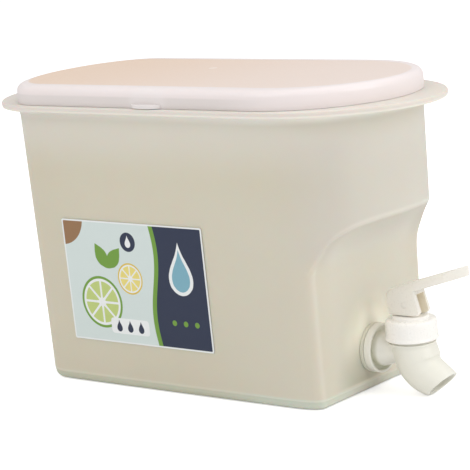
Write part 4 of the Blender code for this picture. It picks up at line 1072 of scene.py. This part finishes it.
def make_label_print():
    """Printed paper: fields with a wavy edge, fruit slices, the other shapes and a white edge all round."""
    material, tree, shader = start_material("label_print")
    where = add_node(tree, "ShaderNodeTexCoord")
    vector = add_node(tree, "ShaderNodeMapping", {
        "Vector": where.outputs["Object"], "Scale": (1000, 1000, 1000),
        "Location": (-1000 * LABEL_CENTRE[0], 0, -1000 * LABEL_CENTRE[1]),
    }).outputs[0]
    axes = add_node(tree, "ShaderNodeSeparateXYZ", {"Vector": vector}).outputs
    wave = calculate(tree, "SINE", calculate(tree, "MULTIPLY", axes["Z"], WAVE_TURN))
    across = calculate(tree, "SUBTRACT", axes["X"], calculate(tree, "MULTIPLY", wave, WAVE_DEPTH))
    colour = LABEL_PALE
    for start, field in DARK_FIELDS:
        colour = lay_over(tree, colour, mask_inside(tree, calculate(tree, "SUBTRACT", start, across)), field)
    for fruit in SLICES:
        colour = print_slice(tree, colour, vector, *fruit)
    for group, ink, values in PRINTED_SHAPES:
        colour = lay_over(tree, colour, place_shape(tree, group, vector, values)["Mask"], ink)
    printed = place_shape(tree, box_group, vector, PRINT_EDGE)["Mask"]
    colour = lay_over(tree, colour, calculate(tree, "SUBTRACT", 1.0, printed), LABEL_WHITE)
    tree.links.new(colour, shader.inputs["Base Color"])
    paper = add_node(tree, "ShaderNodeTexNoise", {"Vector": vector, "Scale": 1.2, "Detail": 3.0})
    bump = add_node(tree, "ShaderNodeBump", {"Height": paper.outputs["Fac"], "Distance": SATIN_GRAIN})
    tree.links.new(bump.outputs["Normal"], shader.inputs["Normal"])
    tree.links.new(vary(tree, paper, 0.30, 0.42), shader.inputs["Roughness"])
    return material


label_print = make_label_print()
print("label print:", len(label_print.node_tree.nodes), "nodes")

# %% Label sheet
LABEL_SIZE = (0.1017, 0.0700)
LABEL_THICKNESS = 0.0002
LABEL_CORNER = 0.0011
WALL_LEAN = math.radians(1.974)

low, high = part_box("label_sheet")
middle = (low + high) / 2
out_of_wall = Vector((0, -math.cos(WALL_LEAN), -math.sin(WALL_LEAN)))
label = start_primitive(
    "label", bpy.ops.mesh.primitive_plane_add, scale=(*LABEL_SIZE, 1), size=1,
    location=middle - out_of_wall * LABEL_THICKNESS / 2, rotation=(math.pi / 2 + WALL_LEAN, 0, 0))
bpy.ops.mesh.bevel(offset=LABEL_CORNER, segments=5, affect="VERTICES")
bpy.ops.mesh.select_all(action="SELECT")
bpy.ops.mesh.extrude_region_move(TRANSFORM_OT_translate={"value": out_of_wall * LABEL_THICKNESS})
face_outwards()
finish_mesh(label, label_print)
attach(label, "tank_body")
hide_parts("label_sheet")

# %% [markdown]
# ## Washers, nut and stem
# The two washers, the nut and the stem are hidden or nearly so. Their solids have the right shape, so each keeps it
# and only gets its finish. The cup and the spring come after them.

# %% Steel wire and the pieces inside
WIRE_DARK = (0.52, 0.52, 0.52, 1)
WIRE_LIGHT = (0.66, 0.66, 0.67, 1)


def make_wire():
    """Bare steel whose fine lines from drawing vary its colour and gloss."""
    material, tree, shader = start_material("spring_wire")
    where = add_node(tree, "ShaderNodeTexCoord")
    lines = add_node(tree, "ShaderNodeTexNoise", {"Vector": where.outputs["Object"], "Scale": 1500.0})
    tree.links.new(vary(tree, lines, 0.22, 0.36), shader.inputs["Roughness"])
    tree.links.new(lay_over(tree, WIRE_DARK, lines.outputs["Fac"], WIRE_LIGHT), shader.inputs["Base Color"])
    shader.inputs["Metallic"].default_value = 1.0
    return material


spring_wire = make_wire()
FINISHES = {"outer_washer": washer_rubber, "inner_washer": washer_rubber, "lock_nut": tap_plastic,
            "valve_stem": tap_plastic}
for name, material in FINISHES.items():
    nodes[name].data.materials.clear()
    nodes[name].data.materials.append(material)
print("dressed:", ", ".join(FINISHES))

# %% [markdown]
# ## Seat cup and spring
# The stem's foot sits in a soft rubber cup that closes the tap's seat. The cup's brim is clamped under the bonnet,
# so its wall gives way as the stem lifts. The spring round the stem pushes it down again.
# A real spring is wire wound on a rod, so it is made as a small circle that a screw carries round and up.

# %% Seat cup
CUP_PROFILE = (
    (0.0043, 0.0239), (0.0043, 0.0260), (0.0029, 0.0260), (0.0029, 0.0268), (0.0058, 0.0268), (0.0066, 0.0309),
    (0.0074, 0.0351), (0.0082, 0.0393), (0.0112, 0.0393), (0.0112, 0.0383), (0.0090, 0.0383), (0.0082, 0.0345),
    (0.0074, 0.0307), (0.0066, 0.0268), (0.0066, 0.0211),
)

cup = draw_tube("soft_seat_cup", upright(CUP_PROFILE), sides=64)
round_edges(cup, SMALL_ROUND, 2, sharper_than(69))
finish_mesh(cup, washer_rubber)
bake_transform(cup)
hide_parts("seat_cup")

# %% Spring
SPRING_RADIUS = 0.0046
WIRE_RADIUS = 0.0004
SPRING_TURNS = 6
SPRING_FOOT = 0.0275
SPRING_HEAD = 0.0389

spring = start_primitive(
    "wound_spring", bpy.ops.mesh.primitive_circle_add, vertices=16, radius=WIRE_RADIUS,
    location=(SPRING_RADIUS, 0, SPRING_FOOT), rotation=(math.pi / 2, 0, 0))
use_modifier(spring, "SCREW", angle=math.tau, steps=48, render_steps=48, iterations=SPRING_TURNS,
             screw_offset=(SPRING_HEAD - SPRING_FOOT) / SPRING_TURNS)
middle = (SPRING_FOOT + SPRING_HEAD) / 2
for end in (-1, 1):
    close_end(spring, lambda edge: (edge.verts[0].co.z - middle) * end > 0)
bpy.ops.mesh.select_all(action="SELECT")
bpy.ops.transform.translate(value=(BARREL_X, 0, 0))
face_outwards()
finish_mesh(spring, spring_wire)
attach(spring, "tank_body")
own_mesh(spring)
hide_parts("valve_spring")

# %% Sizes of the finished model
low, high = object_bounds()
print("finished box:", [round(1000 * (b - a), 1) for a, b in zip(low, high)], "mm")
